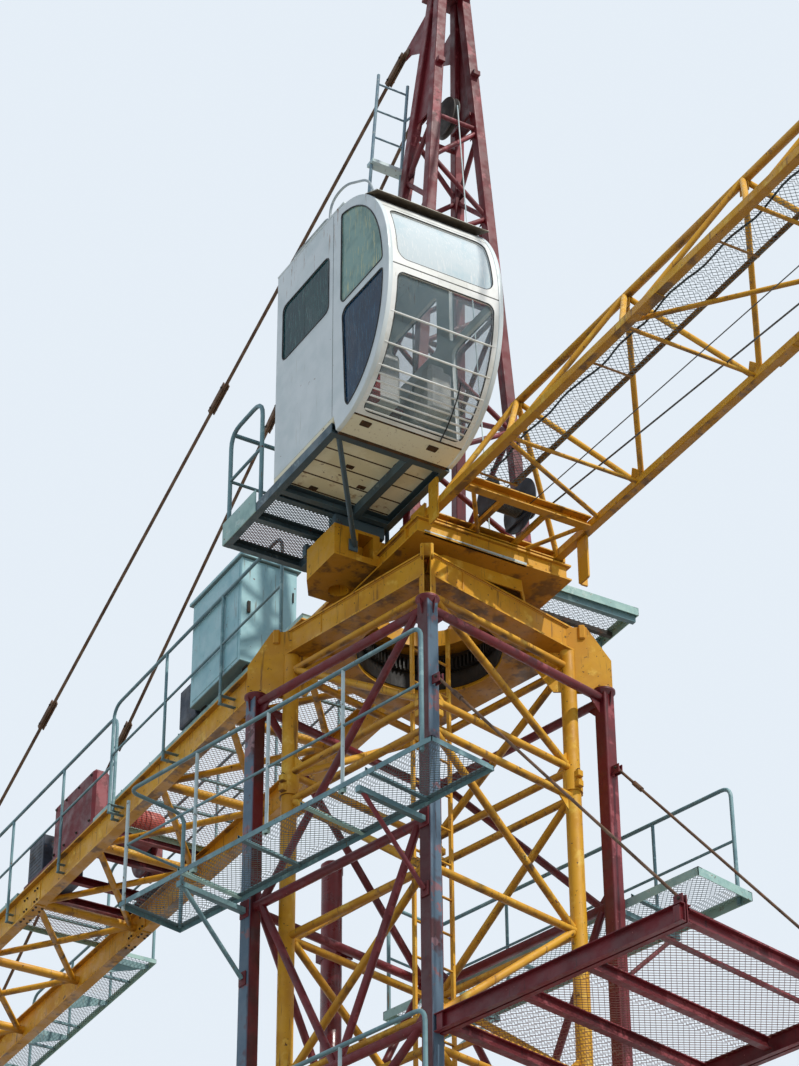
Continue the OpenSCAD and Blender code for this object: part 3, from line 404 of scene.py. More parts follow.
def bolts(places, size, made):
    """Bolt heads of a thread size at (point, axis) pairs."""
    points = bpy.data.meshes.new("bolt_points")
    points.from_pydata([p for p, axis in places], [], [])
    attribute = points.attributes.new("axis", "FLOAT_VECTOR", "POINT")
    attribute.data.foreach_set("vector", [c for p, axis in places for c in axis])
    return made_by(bolts_on_points, points, {"Size": size, "Finish": made})


def piece(name, parts, body, slot, *nodes):
    """One object from several meshes, which rides on a body and stands for CAD nodes; its slot argument is not used.
    """
    whole = bpy.data.meshes.new(name)
    shape = bmesh.new()
    finishes = []
    for part in parts:
        own = part.materials[len(part.materials) - 1]
        if own not in finishes:
            finishes.append(own)
        first = len(shape.faces)
        shape.from_mesh(part)
        shape.faces.ensure_lookup_table()
        for face in shape.faces[first:]:
            face.material_index = finishes.index(own)
        bpy.data.meshes.remove(part)
    shape.to_mesh(whole)
    shape.free()
    for own in finishes:
        whole.materials.append(own)
    made = bpy.data.objects.new(name, whole)
    scene.collection.objects.link(made)
    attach(made, body)
    if nodes:
        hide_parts(*nodes)
    return made


dark_steel = finish("dark_steel", tone(0.24, 0.22, 0.20), lambda tree: [
    (mask(tree, 3, 0.45, 0.65), tone(0.30, 0.26, 0.22)),
    (mask(tree, 12, 0.55, 0.68), tone(0.34, 0.20, 0.12)),
    (mask(tree, 34, 0.62, 0.70), tone(0.16, 0.14, 0.13)),
], rough=0.7, gloss=0.25)

surface("base_frame", yellow_paint)
chord = 0.8
base_top = 0.66
foot_reach = 0.2
quarter = [Matrix.Rotation(math.pi/2*i, 4, "Z") for i in range(4)]
foot_places = [(turn @ Vector((chord + i*foot_reach, chord + j*foot_reach, 0.04)), UP)
               for turn in quarter for i in (-1, 1) for j in (-1, 1)]
base_parts = [bolts(foot_places, 0.034, dark_steel)]
for turn in quarter:
    for side in (-1, 1):
        rib = plate([(0.084, 0), (0.25, 0), (0.25, 0.03), (0.10, 0.20), (0.084, 0.20)], 0.012,
                    turn @ Matrix.Translation((chord, chord, 0.04)) @ Matrix.Rotation(
                        math.radians(-45 + side*90), 4, "Z") @ Matrix.Rotation(math.pi/2, 4, "X"), yellow_paint)
        base_parts.append(rib)
piece("base_bolts_and_ribs", base_parts, "mast", "dark_steel")

# Mast: five bolted sections of round tube, two bays each, with sleeves where the chords join.
# The lacing is welded to the chords through small gusset plates, and each joint has four pairs of lugs.
surface("mast_chords", yellow_paint)
section = 2.66
sections = 5
last_joint = base_top + section*sections
support_low, support_top = (corner.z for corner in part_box("slewing_support"))
chord_r = 0.065
lace_r = 0.032


def tube_tree():
    """Round tube along every line of a mesh."""
    tree, given, out = new_tree("tube_along_lines", [
        ("Lines", "Geometry"), ("Radius", "Float"), ("Sides", "Int"), ("Finish", "Material")])
    link = tree.links.new
    curve = add(tree, "GeometryNodeMeshToCurve")
    profile = add(tree, "GeometryNodeCurvePrimitiveCircle")
    tube = add(tree, "GeometryNodeCurveToMesh")
    tube.inputs["Fill Caps"].default_value = True
    real = add(tree, "GeometryNodeRealizeInstances")
    coat = add(tree, "GeometryNodeSetMaterial")
    link(given.outputs["Lines"], curve.inputs["Mesh"])
    link(given.outputs["Sides"], profile.inputs["Resolution"])
    link(given.outputs["Radius"], profile.inputs["Radius"])
    link(curve.outputs["Curve"], tube.inputs["Curve"])
    link(profile.outputs["Curve"], tube.inputs["Profile Curve"])
    link(tube.outputs["Mesh"], real.inputs["Geometry"])
    link(real.outputs["Geometry"], coat.inputs["Geometry"])
    link(given.outputs["Finish"], coat.inputs["Material"])
    link(coat.outputs["Geometry"], out.inputs["Steel"])
    return tree


tube_along_lines = tube_tree()


def tubes(runs, radius, made, sides=12):
    """Tubes of one radius along runs of points."""
    points, edges = [], []
    for run in runs:
        edges += [(len(points) + i, len(points) + i + 1) for i in range(len(run) - 1)]
        points += [tuple(p) for p in run]
    lines = bpy.data.meshes.new("lines")
    lines.from_pydata(points, edges, [])
    mesh = made_by(tube_along_lines, lines, {"Radius": radius, "Sides": sides, "Finish": made})
    mesh.polygons.foreach_set("use_smooth", [True]*len(mesh.polygons))
    mesh.set_sharp_from_angle(angle=math.radians(50))
    return mesh


def turned(matrix, runs):
    return [[matrix @ Vector(p) for p in run] for run in runs]


def gusset(corner, along, across, size, thick, made):
    """A three-cornered plate at a node, with its two short sides along two directions."""
    along, across = Vector(along).normalized(), Vector(across).normalized()
    up = along.cross(across).normalized()
    place = Matrix((along, across, up)).transposed().to_4x4()
    place.translation = Vector(corner) - up*thick/2
    outline = [(0, 0), (size, 0), (size*0.86, size*0.16), (size*0.16, size*0.86), (0, size)]
    return plate(outline, thick, place, made)


edge = chord - chord_r + 0.02
mast_runs = []
mast_parts = []
for turn in quarter:
    runs = []
    for i in range(sections):
        z = base_top + section*i
        middle = z + section/2
        runs += [[(-edge, -chord, h), (edge, -chord, h)] for h in (z + 0.13, middle, z + section - 0.13)]
        runs += [[(-edge + 0.03, -chord, z + section - 0.16), (edge - 0.03, -chord, middle + 0.02)],
                 [(edge - 0.03, -chord, middle - 0.02), (-edge + 0.03, -chord, z + 0.16)]]
    top = last_joint + 0.13
    runs += [[(-edge, -chord, top), (edge, -chord, top)],
             [(-edge + 0.03, -chord, support_low - 0.16), (edge - 0.03, -chord, top + 0.02)],
             [(-edge, -chord, support_low - 0.14), (edge, -chord, support_low - 0.14)]]
    mast_runs += turned(turn, runs)
    for i in range(sections + 1):
        z = base_top + section*i
        for side in (-1, 1):
            for lift in (-1, 1):
                if 0 < i < sections or lift == (1 if i == 0 else -1) or i == sections:
                    corner = turn @ Vector((side*(chord - chord_r), -chord, z + lift*0.13))
                    mast_parts.append(gusset(corner, turn @ Vector((-side, 0, 0)), (0, 0, lift),
                                             0.13, 0.012, yellow_paint))
mast_parts.append(tubes(mast_runs, lace_r, yellow_paint, 16))
lug_bolts = []
for turn in quarter:
    for i in range(1, sections + 1):
        z = base_top + section*i
        for x, y in ((chord + 0.085, chord - 0.02), (chord - 0.02, chord + 0.085)):
            for lift in (-0.075, 0.015):
                block_mesh = block((x - 0.028, y - 0.028, z + lift), (x + 0.028, y + 0.028, z + lift + 0.06),
                                   yellow_paint, 0.006)
                block_mesh.transform(turn)
                mast_parts.append(block_mesh)
            lug_bolts.append((turn @ Vector((x, y, z + 0.075)), UP))
mast_parts.append(bolts(lug_bolts, 0.018, dark_steel))
piece("mast_lacing", mast_parts, "mast", "yellow_paint",
      "mast_side_front", "mast_side_right", "mast_side_back", "mast_side_left")

# Ladder inside the mast: two flat stiles and round rungs, clipped to the horizontals of the right side.
# Painted with the mast.
surface("mast_ladder", yellow_paint)

# Slewing support: a welded box on the four chords, open in the middle for the ring.
# Plate 16 mm thick with a weld bead along each seam, painted with the mast.
surface("slewing_support", yellow_paint)
support = 0.865
web = support - 0.045
support_parts = []
for turn in quarter:
    seams = [[(-web, -web - 0.002, z), (web, -web - 0.002, z)]
             for z in (support_low + 0.018, support_top - 0.018)]
    seams.append([(-0.42, -web - 0.002, support_low + 0.02), (-0.42, -web - 0.002, support_top - 0.02)])
    support_parts.append(tubes(turned(turn, seams), 0.007, yellow_paint, 6))
piece("support_welds", support_parts, "mast", "yellow_paint")

# Wings on the support's corners: two plates with a block between them at the corner, over the disc that
# each cage post bolts to, and one triangular plate inside the mast. They are cut from plate and welded.
post_line = 1.0
cage_top = support_top - 0.645
wing_disc = cage_top + 0.02
wing_parts = []
diagonal = [Matrix.Rotation(math.radians(45 + 90*i), 4, "Z") for i in range(4)]
s = 2*support*0.70711
p = chord*1.4143 + chord_r - 0.007
q = chord*1.4143 - chord_r
o = post_line*1.4143 + 0.06
low = wing_disc
outer = [(p, low), (o, low), (o + 0.012, low + 0.02), (o + 0.012, support_low - 0.10), (o, support_low - 0.08),
         (s + 0.07, support_top - 0.02), (s - 0.1, support_top - 0.02), (s - 0.1, support_low + 0.016),
         (s - 0.03, support_low + 0.016), (s - 0.03, support_low - 0.001), (p, support_low - 0.001)]
inner = [(q, low), (q - 0.06, low), (q - 0.19, support_low - 0.17), (q - 0.33, support_low), (q, support_low)]
wing_bolts = []
for turn in diagonal:
    stand = turn @ Matrix.Rotation(math.pi/2, 4, "X")
    for y in (-0.032, 0.023):
        wing_parts.append(plate(outer, 0.009, stand @ Matrix.Translation((0, 0, y)), yellow_paint))
    wing_parts.append(plate(inner, 0.016, stand @ Matrix.Translation((0, 0, -0.008)), yellow_paint))
    parts = [block((s + 0.004, -0.053, support_top - 0.14), (s + 0.06, 0.053, support_top - 0.004),
                   yellow_paint, 0.01),
             spun([(0.078, low), (0.084, low + 0.004), (0.084, low + 0.012), (0.078, low + 0.016)], 40,
                  Matrix.Translation((post_line*1.4142, 0, 0)), yellow_paint)]
    for mesh in parts:
        mesh.transform(turn)
    wing_parts += parts
    wing_bolts += [(turn @ Vector((post_line*1.4142 + x, y, low + 0.016)), UP)
                   for x, y in ((0.035, 0.057), (0.035, -0.057), (-0.035, 0.057), (-0.035, -0.057))]
wing_parts.append(bolts(wing_bolts, 0.012, dark_steel))
piece("support_wings", wing_parts, "mast", "yellow_paint", "corner_wings")

# Slewing ring: two machined rings, one bolted to the support and one to the turntable.
# Bare steel with a greasy film, and a rubber seal in the gap between them; the near-black lining of the opening below
# the ring is painted shade.
surface("ring_lower", dark_steel)
surface("ring_upper", dark_steel)
rubber = finish("rubber", tone(0.10, 0.10, 0.10), lambda tree: [
    (mask(tree, 14, 0.45, 0.65), tone(0.16, 0.155, 0.15)),
], rough=0.7)
ring_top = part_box("ring_lower")[1].z
seal_ring = [[(0.694*math.cos(math.tau*i/96), 0.694*math.sin(math.tau*i/96), ring_top - 0.006)
              for i in range(97)]]
piece("ring_seal", [tubes(seal_ring, 0.005, rubber, 8)], "mast", "dark_steel")
grease_and_shade = finish("grease_and_shade", tone(0.075, 0.065, 0.055), lambda tree: [
    (mask(tree, 9, 0.45, 0.65), tone(0.13, 0.11, 0.08)),
    (mask(tree, 30, 0.60, 0.68), tone(0.20, 0.15, 0.08)),
], rough=0.5, gloss=0.35)


def ring_band(inner, outer, low, high, n, made):
    """A ring about the slewing axis: inner is the list of radii that its inner side repeats, n points in all."""
    turns = [math.tau*i/n for i in range(n)]
    points = [(inner[i % len(inner)]*math.cos(a), inner[i % len(inner)]*math.sin(a), z)
              for z in (low, high) for i, a in enumerate(turns)]
    points += [(outer*math.cos(a), outer*math.sin(a), z) for z in (low, high) for a in turns]
    faces = []
    for i in range(n):
        j = (i + 1) % n
        faces += [(2*n + i, 2*n + j, 3*n + j, 3*n + i), (j, i, n + i, n + j),
                  (n + i, 3*n + i, 3*n + j, n + j), (i, j, 2*n + j, 2*n + i)]
    return plain_mesh("band", points, faces, made)


ring_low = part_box("ring_lower")[0].z
piece("ring_gear", [
    ring_band((0.562, 0.562, 0.540, 0.540), 0.597, ring_low - 0.06, ring_top - 0.012, 360, grease_and_shade),
    # Below the gear, a near-black lining of the support's opening: painted shade.
    ring_band((0.583,), 0.597, support_low + 0.03, ring_low - 0.07, 96, grease_and_shade),
], "mast", "dark_steel")

# Climbing cage: four square posts around the mast, with round flanges bolted under the wings.
# Square tube with round corners, painted maroon and chalky where the sun has faded it.
maroon_paint = finish("maroon_paint", tone(0.42, 0.06, 0.10), lambda tree: [
    (mask(tree, 2.0, 0.42, 0.62), tone(0.34, 0.05, 0.08)),
    (both(tree, facing(tree, (1, 0, 0), 0.5, 0.95), mask(tree, 3.1, 0.54, 0.60)), tone(0.58, 0.26, 0.28)),
    (both(tree, facing(tree, UP, 0.4, 0.9), mask(tree, 6, 0.4, 0.6)), tone(0.52, 0.30, 0.30)),
    (mask(tree, 2.4, 0.60, 0.72, RUNS), tone(0.20, 0.05, 0.06)),
    (mask(tree, 14, 0.68, 0.73), RUST),
    (mask(tree, 28, 0.69, 0.73), tone(0.60, 0.38, 0.36)),
], rough=0.5)


def faded(name, side, ground):
    """Maroon paint that the weather has turned blue-grey on the faces of one side."""
    return finish(name, ground, lambda tree: [
        (mask(tree, 2.0, 0.42, 0.62), tone(0.26, 0.04, 0.07)),
        (both(tree, facing(tree, side, 0.5, 0.9), mask(tree, 1.9, 0.36, 0.46)), tone(0.34, 0.43, 0.50)),
        (both(tree, facing(tree, side, 0.5, 0.9), mask(tree, 4.0, 0.57, 0.62)), tone(0.54, 0.38, 0.40)),
        (mask(tree, 2.4, 0.60, 0.72, RUNS), tone(0.18, 0.06, 0.07)),
        (mask(tree, 14, 0.68, 0.73), RUST),
    ], rough=0.45)


post_paints = [maroon_paint, maroon_paint, faded("faded_left", (0, -1, 0), tone(0.42, 0.06, 0.10)),
               faded("faded_near", (1, 0, 0), tone(0.30, 0.05, 0.08))]
cage_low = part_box("cage_posts")[0].z + 0.02
post = 0.12
post_parts = []
post_bolts = []
for number, turn in enumerate(quarter):
    x = y = post_line
    parts = [rolled(square_tube(post, corner=0.014), (x, y, cage_low), (x, y, cage_top), (1, 0, 0),
                    post_paints[number]),
             spun([(0.055, cage_top - 0.05), (0.095, cage_top), (0.095, cage_top + 0.018), (0.091, cage_top + 0.02)],
                  40, Matrix.Translation((x, y, 0)), maroon_paint),
             block((x - 0.09, y - 0.09, cage_low - 0.02), (x + 0.09, y + 0.09, cage_low), maroon_paint, 0.004)]
    for side in range(4):
        spin = Matrix.Translation((x, y, 0)) @ Matrix.Rotation(math.pi/2*side, 4, "Z")
        parts.append(plate([(0.058, cage_top - 0.14), (0.066, cage_top - 0.14), (0.089, cage_top - 0.01),
                            (0.089, cage_top), (0.058, cage_top)], 0.008,
                           spin @ Matrix.Rotation(math.pi/2, 4, "X") @ Matrix.Translation((0, 0, -0.004)),
                           maroon_paint))
    for mesh in parts:
        mesh.transform(turn)
    post_parts += parts
    post_bolts += [(turn @ Vector((x + i*0.075, y + j*0.075, cage_low - 0.02)), DOWN)
                   for i in (-1, 1) for j in (-1, 1)]
    post_bolts += [(turn @ Vector((x + 0.079*math.cos(a), y + 0.079*math.sin(a), cage_top)), DOWN)
                   for a in [math.pi/4 + math.pi/2*k for k in range(4)]]
post_parts.append(bolts(post_bolts, 0.011, dark_steel))
piece("cage_posts_tube", post_parts, "mast", "maroon_paint", "cage_posts")

# Cage lacing: horizontals at five levels with diagonals between them, and a V in the third bay.
# Round tube on welded gussets; the right side is left open between its upper rings for new sections.
levels = [cage_top - 0.06, cage_top - 1.915, cage_top - 3.565, cage_top - 4.855, cage_low + 0.08]
reach = post_line - post/2 + 0.01
slant = reach - 0.07
cage_parts = []
ring_runs, brace_runs = [], []
for number, turn in enumerate(quarter):
    open_side = number == 1
    rings = [levels[i] for i in (0, 2, 3, 4)] if open_side else levels
    ring_runs += turned(turn, [[(-reach, -post_line, z), (reach, -post_line, z)] for z in rings])
    bays = ((2, 1), (3, -1)) if open_side else ((0, 1), (2, 1), (3, -1))
    for i, way in bays:
        brace_runs += turned(turn, [[(-way*slant, -post_line, levels[i + 1]), (way*slant, -post_line, levels[i])]])
    if not open_side:
        brace_runs += turned(turn, [[(side*slant, -post_line, levels[1]), (side*0.02, -post_line, levels[2])]
                                    for side in (-1, 1)])
        cage_parts.append(gusset(turn @ Vector((0, -post_line, levels[2])), turn @ Vector((0.6, 0, 1)),
                                 turn @ Vector((-0.6, 0, 1)), 0.14, 0.01, maroon_paint))
    for z in rings:
        for side in (-1, 1):
            lift = -1 if z == rings[0] else 1
            corner = turn @ Vector((side*(post_line - post/2), -post_line, z))
            cage_parts.append(gusset(corner, turn @ Vector((-side, 0, 0)), (0, 0, lift), 0.15, 0.01, maroon_paint))
cage_parts.append(tubes(ring_runs, 0.038, maroon_paint, 16))
cage_parts.append(tubes(brace_runs, 0.032, maroon_paint, 16))
piece("cage_lacing", cage_parts, "mast", "maroon_paint",
      "cage_side_front", "cage_side_right", "cage_side_back", "cage_side_left")

# Climbing cylinder: a hydraulic ram hung between a bracket on the cage and a crosshead on the mast.
# Turned steel barrel with a gland nut, a chromed rod and a forged eye.
ram_x, ram_y = -post_line - post/2 - 0.13, 0.03
chrome = finish("chrome", tone(0.74, 0.75, 0.76), lambda tree: [
    (mask(tree, 20, 0.5, 0.7), tone(0.62, 0.62, 0.62)),
], rough=0.25, metal=0.9)
ram_paint = finish("ram_paint", tone(0.46, 0.05, 0.09), lambda tree: [
    (mask(tree, 3, 0.45, 0.65), tone(0.38, 0.04, 0.07)),
    (mask(tree, 16, 0.66, 0.72), tone(0.20, 0.07, 0.07)),
], rough=0.32, gloss=0.6)
barrel = [(0.075, -2.92), (0.092, -2.91), (0.092, -2.80), (0.086, -2.79), (0.086, -1.17), (0.092, -1.16),
          (0.092, -1.08), (0.07, -1.06)]
rod = [(0.05, -3.50), (0.05, -2.9)]
eye = [(0.055, -3.52), (0.07, -3.5), (0.07, -3.42), (0.05, -3.40)]
piece("climbing_ram", [
    spun([(r, cage_top + z) for r, z in barrel], 40, Matrix.Translation((ram_x, ram_y, 0)), ram_paint),
    spun([(r, cage_top + z) for r, z in rod], 32, Matrix.Translation((ram_x, ram_y, 0)), chrome),
    spun([(r, cage_top + z) for r, z in eye], 32, Matrix.Translation((ram_x, ram_y, 0)), maroon_paint),
    block((ram_x - 0.09, -0.06, cage_top - 1.955), (-post_line - 0.03, 0.0, cage_top - 1.875), maroon_paint),
    block((ram_x - 0.09, 0.06, cage_top - 1.955), (-post_line - 0.03, 0.12, cage_top - 1.875), maroon_paint),
    block((ram_x - 0.06, -0.30, cage_top - 3.64), (ram_x + 0.06, 0.36, cage_top - 3.50), maroon_paint, 0.008),
    bolts([((ram_x, y, cage_top - 3.50), UP) for y in (-0.24, -0.16, 0.22, 0.30)], 0.016, dark_steel),
], "mast", "maroon_paint", "climbing_cylinder")

# Working platforms on the front and back of the cage, at two levels: an angle frame on two brackets with
# slanted struts, filled with expanded metal that is tacked to pale cross angles.
green_paint = finish("grey_green_paint", tone(0.47, 0.61, 0.63), lambda tree: [
    (mask(tree, 3.0, 0.44, 0.62), tone(0.40, 0.53, 0.56)),
    (mask(tree, 8.0, 0.55, 0.66), tone(0.58, 0.71, 0.72)),
    # Undersides darker: painted shade.
    (facing(tree, DOWN, 0.3, 0.9), tone(0.33, 0.43, 0.46)),
    (mask(tree, 5.0, 0.60, 0.72, RUNS), tone(0.44, 0.38, 0.30)),
    (mask(tree, 22, 0.66, 0.70), RUST),
], rough=0.55)
mint_paint = finish("mint_paint", tone(0.64, 0.77, 0.74), lambda tree: [
    (mask(tree, 4.0, 0.45, 0.62), tone(0.56, 0.70, 0.68)),
    (mask(tree, 9.0, 0.57, 0.68), tone(0.72, 0.82, 0.79)),
    (mask(tree, 18, 0.64, 0.69), tone(0.42, 0.30, 0.20)),
], rough=0.5)
mesh_steel = finish("expanded_metal", tone(0.36, 0.42, 0.44), lambda tree: [
    (mask(tree, 2.2, 0.42, 0.60), tone(0.28, 0.33, 0.35)),
    (mask(tree, 3.5, 0.56, 0.66), tone(0.38, 0.29, 0.20)),
], rough=0.6)
rusty_mesh = finish("rusty_expanded_metal", tone(0.44, 0.25, 0.21), lambda tree: [
    (mask(tree, 2.2, 0.42, 0.60), tone(0.38, 0.20, 0.17)),
    (mask(tree, 5.5, 0.52, 0.66), tone(0.50, 0.36, 0.30)),
], rough=0.65)


def mesh_tree():
    """Expanded metal: rows of zigzag strands that touch at their peaks, centred on the origin."""
    tree, given, out = new_tree("expanded_metal", [
        ("Lines", "Geometry"), ("Length", "Float"), ("Width", "Float"), ("Columns", "Int"), ("Rows", "Int"),
        ("Strand", "Float"), ("Finish", "Material")])
    link = tree.links.new

    def maths(kind, a, b=None):
        step = add(tree, "ShaderNodeMath", operation=kind)
        for socket, value in zip(step.inputs, (a, b)):
            if isinstance(value, (int, float)):
                socket.default_value = value
            elif value is not None:
                link(value, socket)
        return step.outputs[0]

    row = maths("DIVIDE", given.outputs["Width"], given.outputs["Rows"])
    step = maths("DIVIDE", given.outputs["Length"], maths("SUBTRACT", given.outputs["Columns"], 1))
    grid = add(tree, "GeometryNodeMeshGrid")
    link(given.outputs["Length"], grid.inputs["Size X"])
    link(maths("SUBTRACT", given.outputs["Width"], row), grid.inputs["Size Y"])
    link(given.outputs["Columns"], grid.inputs["Vertices X"])
    link(given.outputs["Rows"], grid.inputs["Vertices Y"])
    ends = add(tree, "GeometryNodeInputMeshEdgeVertices")
    apart = add(tree, "ShaderNodeVectorMath", operation="SUBTRACT")
    link(ends.outputs["Position 1"], apart.inputs[0])
    link(ends.outputs["Position 2"], apart.inputs[1])
    gap = add(tree, "ShaderNodeSeparateXYZ")
    link(apart.outputs[0], gap.inputs[0])
    across = maths("GREATER_THAN", maths("ABSOLUTE", gap.outputs["Y"]), 0.001)
    strands = add(tree, "GeometryNodeDeleteGeometry", domain="EDGE", mode="EDGE_FACE")
    link(grid.outputs["Mesh"], strands.inputs["Geometry"])
    link(across, strands.inputs["Selection"])
    place = add(tree, "ShaderNodeSeparateXYZ")
    link(add(tree, "GeometryNodeInputPosition").outputs[0], place.inputs[0])
    column = maths("ROUND", maths("DIVIDE", maths("ADD", place.outputs["X"],
                                                  maths("MULTIPLY", given.outputs["Length"], 0.5)), step))
    line = maths("ROUND", maths("DIVIDE", maths("ADD", place.outputs["Y"],
                                                maths("MULTIPLY", given.outputs["Width"], 0.5)), row))
    odd = maths("MODULO", maths("ADD", column, maths("FLOOR", line)), 2)
    swing = maths("MULTIPLY", maths("SUBTRACT", odd, 0.5), row)
    shift = add(tree, "ShaderNodeCombineXYZ")
    link(swing, shift.inputs["Y"])
    zigzag = add(tree, "GeometryNodeSetPosition")
    link(strands.outputs["Geometry"], zigzag.inputs["Geometry"])
    link(shift.outputs[0], zigzag.inputs["Offset"])
    curve = add(tree, "GeometryNodeMeshToCurve")
    profile = add(tree, "GeometryNodeCurvePrimitiveCircle")
    profile.inputs["Resolution"].default_value = 3
    tube = add(tree, "GeometryNodeCurveToMesh")
    real = add(tree, "GeometryNodeRealizeInstances")
    coat = add(tree, "GeometryNodeSetMaterial")
    link(zigzag.outputs["Geometry"], curve.inputs["Mesh"])
    link(given.outputs["Strand"], profile.inputs["Radius"])
    link(curve.outputs["Curve"], tube.inputs["Curve"])
    link(profile.outputs["Curve"], tube.inputs["Profile Curve"])
    link(tube.outputs["Mesh"], real.inputs["Geometry"])
    link(real.outputs["Geometry"], coat.inputs["Geometry"])
    link(given.outputs["Finish"], coat.inputs["Material"])
    link(coat.outputs["Geometry"], out.inputs["Steel"])
    return tree


expanded_metal = mesh_tree()


def mesh_panel(x0, x1, y0, y1, z, made, cell=0.050, row=0.022, strand=0.0030, along_y=None):
    """A flat panel of expanded metal, its long cells along the longer side unless along_y says otherwise."""
    length, width = x1 - x0, y1 - y0
    turn = Matrix.Identity(4)
    if width > length if along_y is None else along_y:
        length, width = width, length
        turn = Matrix.Rotation(math.pi/2, 4, "Z")
    columns = 2*max(2, round(length/cell)) + 1
    rows = max(2, round(width/row))
    mesh = made_by(expanded_metal, bpy.data.meshes.new("start"), {
        "Length": length, "Width": width, "Columns": columns, "Rows": rows, "Strand": strand, "Finish": made})
    mesh.transform(Matrix.Translation(((x0 + x1)/2, (y0 + y1)/2, z)) @ turn)
    return mesh


def angle_frame(x0, x1, y0, y1, z, depth, made, leg=0.05, thick=0.006):
    """Four angles round a panel: their upright legs outside and their flat legs under the mesh."""
    corners = [(x0, y0), (x1, y0), (x1, y1), (x0, y1)]
    parts = []
    for (ax, ay), (bx, by) in zip(corners, corners[1:] + corners[:1]):
        along = Vector((bx - ax, by - ay, 0)).normalized()
        inward = Vector((-along.y, along.x, 0))
        outline = [(0, thick - depth), (thick, thick - depth), (thick, -thick), (leg, -thick), (leg, 0), (0, 0)]
        parts.append(rolled(outline, (ax, ay, z), (bx, by, z), inward, made))
    return parts


deck_zs = (cage_top - 1.846, cage_top - 4.915)
deck_in, deck_out = 1.108, 1.740
deck_spans = ((-1.720, 1.774), (-1.774, 1.774))
platform_parts, platform_mesh = [], []
front_back = [Matrix.Identity(4), Matrix.Scale(-1, 4, (0, 1, 0))]


def mirrored(mesh, matrix):
    """Moves a mesh and turns its faces back out where the move mirrors it."""
    mesh.transform(matrix)
    if matrix.determinant() < 0:
        mesh.flip_normals()
    return mesh


for flip in front_back:
    for level, (z, (x0, x1)) in enumerate(zip(deck_zs, deck_spans)):
        if flip is front_back[0]:
            parts = angle_frame(x0, x1, -deck_out, -deck_in, z, 0.05, green_paint)
        else:
            parts = angle_frame(x0, x1, -deck_out, -deck_in, z, 0.08, mint_paint)
        for i in range(1, 5):
            x = x0 + (x1 - x0)*i/5
            parts.append(rolled(angle_iron(0.045, -0.045, 0.005)[::-1], (x, -deck_out + 0.006, z - 0.012),
                                (x, -deck_in - 0.006, z - 0.012), (1, 0, 0), mint_paint if i % 2 else green_paint))
        for x in (-1, 1):
            bracket = x*post_line
            parts.append(rolled(square_tube(0.05, 0.05, 0.007), (bracket, -deck_out + 0.004, z - 0.112),
                                (bracket, -post_line - post/2, z - 0.112), (1, 0, 0), green_paint))
            d = 0.69 if level == 0 else 0.52
            parts.append(tubes([[(bracket, -deck_out + 0.04, z - 0.11),
                                 (bracket, -post_line - post/2 - 0.014, z - d)]], 0.019,
                               green_paint if x < 0 else maroon_paint, 14))
            parts.append(block((bracket - 0.04, -post_line - post/2 - 0.014, z - d - 0.06),
                               (bracket + 0.04, -post_line - post/2, z - d + 0.06), maroon_paint))
            parts.append(block((bracket - 0.05, -post_line - post/2 - 0.012, z - 0.17),
                               (bracket + 0.05, -post_line - post/2, z - 0.02), maroon_paint))
        lie = mesh_panel(x0 + 0.008, x1 - 0.008, -deck_out + 0.008, -deck_in - 0.008, z - 0.006, mesh_steel)
        platform_parts += [mirrored(mesh, flip) for mesh in parts]
        platform_mesh.append(mirrored(lie, flip))
piece("platform_frames", platform_parts, "mast", "grey_green_paint", "cage_decks")
piece("platform_mesh", platform_mesh, "mast", "grey_green_paint")

# Rails of the platforms: posts clamped to the edge angle, a round top rail and a knee rail.
# Bent from round tube, with a looped end at the side where new sections come in.
pale_paint = finish("pale_paint", tone(0.80, 0.86, 0.86), lambda tree: [
    (mask(tree, 4.0, 0.45, 0.62), tone(0.70, 0.79, 0.80)),
    (mask(tree, 16, 0.62, 0.68), tone(0.48, 0.44, 0.38)),
], rough=0.5)


def bent(points, radius=0.12, steps=5):
    """A run of points with its inner corners rounded."""
    points = [Vector(p) for p in points]
    run = [points[0]]
    for before, corner, after in zip(points, points[1:], points[2:]):
        a, b = (before - corner), (after - corner)
        cut = min(radius, a.length/2, b.length/2)
        start, end = corner + a.normalized()*cut, corner + b.normalized()*cut
        for i in range(steps + 1):
            t = i/steps
            run.append(start*(1 - t)**2 + corner*2*t*(1 - t) + end*t*t)
    return run + [points[-1]]


rail_y = -deck_out + 0.022
rail_tops, rail_knees, rail_parts = [], [], []
for flip in front_back:
    posts, tops, knees, parts = [], [], [], []
    for level, (z, (x0, x1)) in enumerate(zip(deck_zs, deck_spans)):
        first, last = (x0 + 0.035, x1 - 0.12)
        if level:
            first = x0 + 0.054
        for i in range(1, 4):
            x = first + (last - first)*i/4
            posts.append([(x, rail_y, z - 0.07), (x, rail_y, z + 1.0)])
            parts.append(block((x - 0.03, rail_y - 0.019, z - 0.07), (x + 0.03, rail_y + 0.019, z + 0.0),
                               mint_paint, 0.006))
        inner = -deck_in - 0.032
        tops.append(bent([(first, inner, z - 0.02), (first, inner, z + 0.99), (first, rail_y, z + 0.99),
                          (last, rail_y, z + 0.99), (last, rail_y, z - 0.07)], 0.10))
        posts.append([(first, rail_y, z - 0.07), (first, rail_y, z + 0.90)])
        knees.append([(first, inner, z + 0.5), (first, rail_y, z + 0.5), (last, rail_y, z + 0.5)])
    # Posts of the front platforms are near white: partly their own pale paint, partly painted sunlight; those at the
    # back are grey-green.
    rail_parts.append(tubes(turned(flip, posts), 0.0145, pale_paint if flip is front_back[0] else green_paint, 14))
    rail_tops += turned(flip, tops)
    rail_knees += turned(flip, knees)
    rail_parts += [mirrored(mesh, flip) for mesh in parts]
rail_parts += [tubes(rail_tops, 0.017, green_paint, 14), tubes(rail_knees, 0.012, green_paint, 12)]
piece("platform_rails", rail_parts, "mast", "grey_green_paint", "cage_rails")

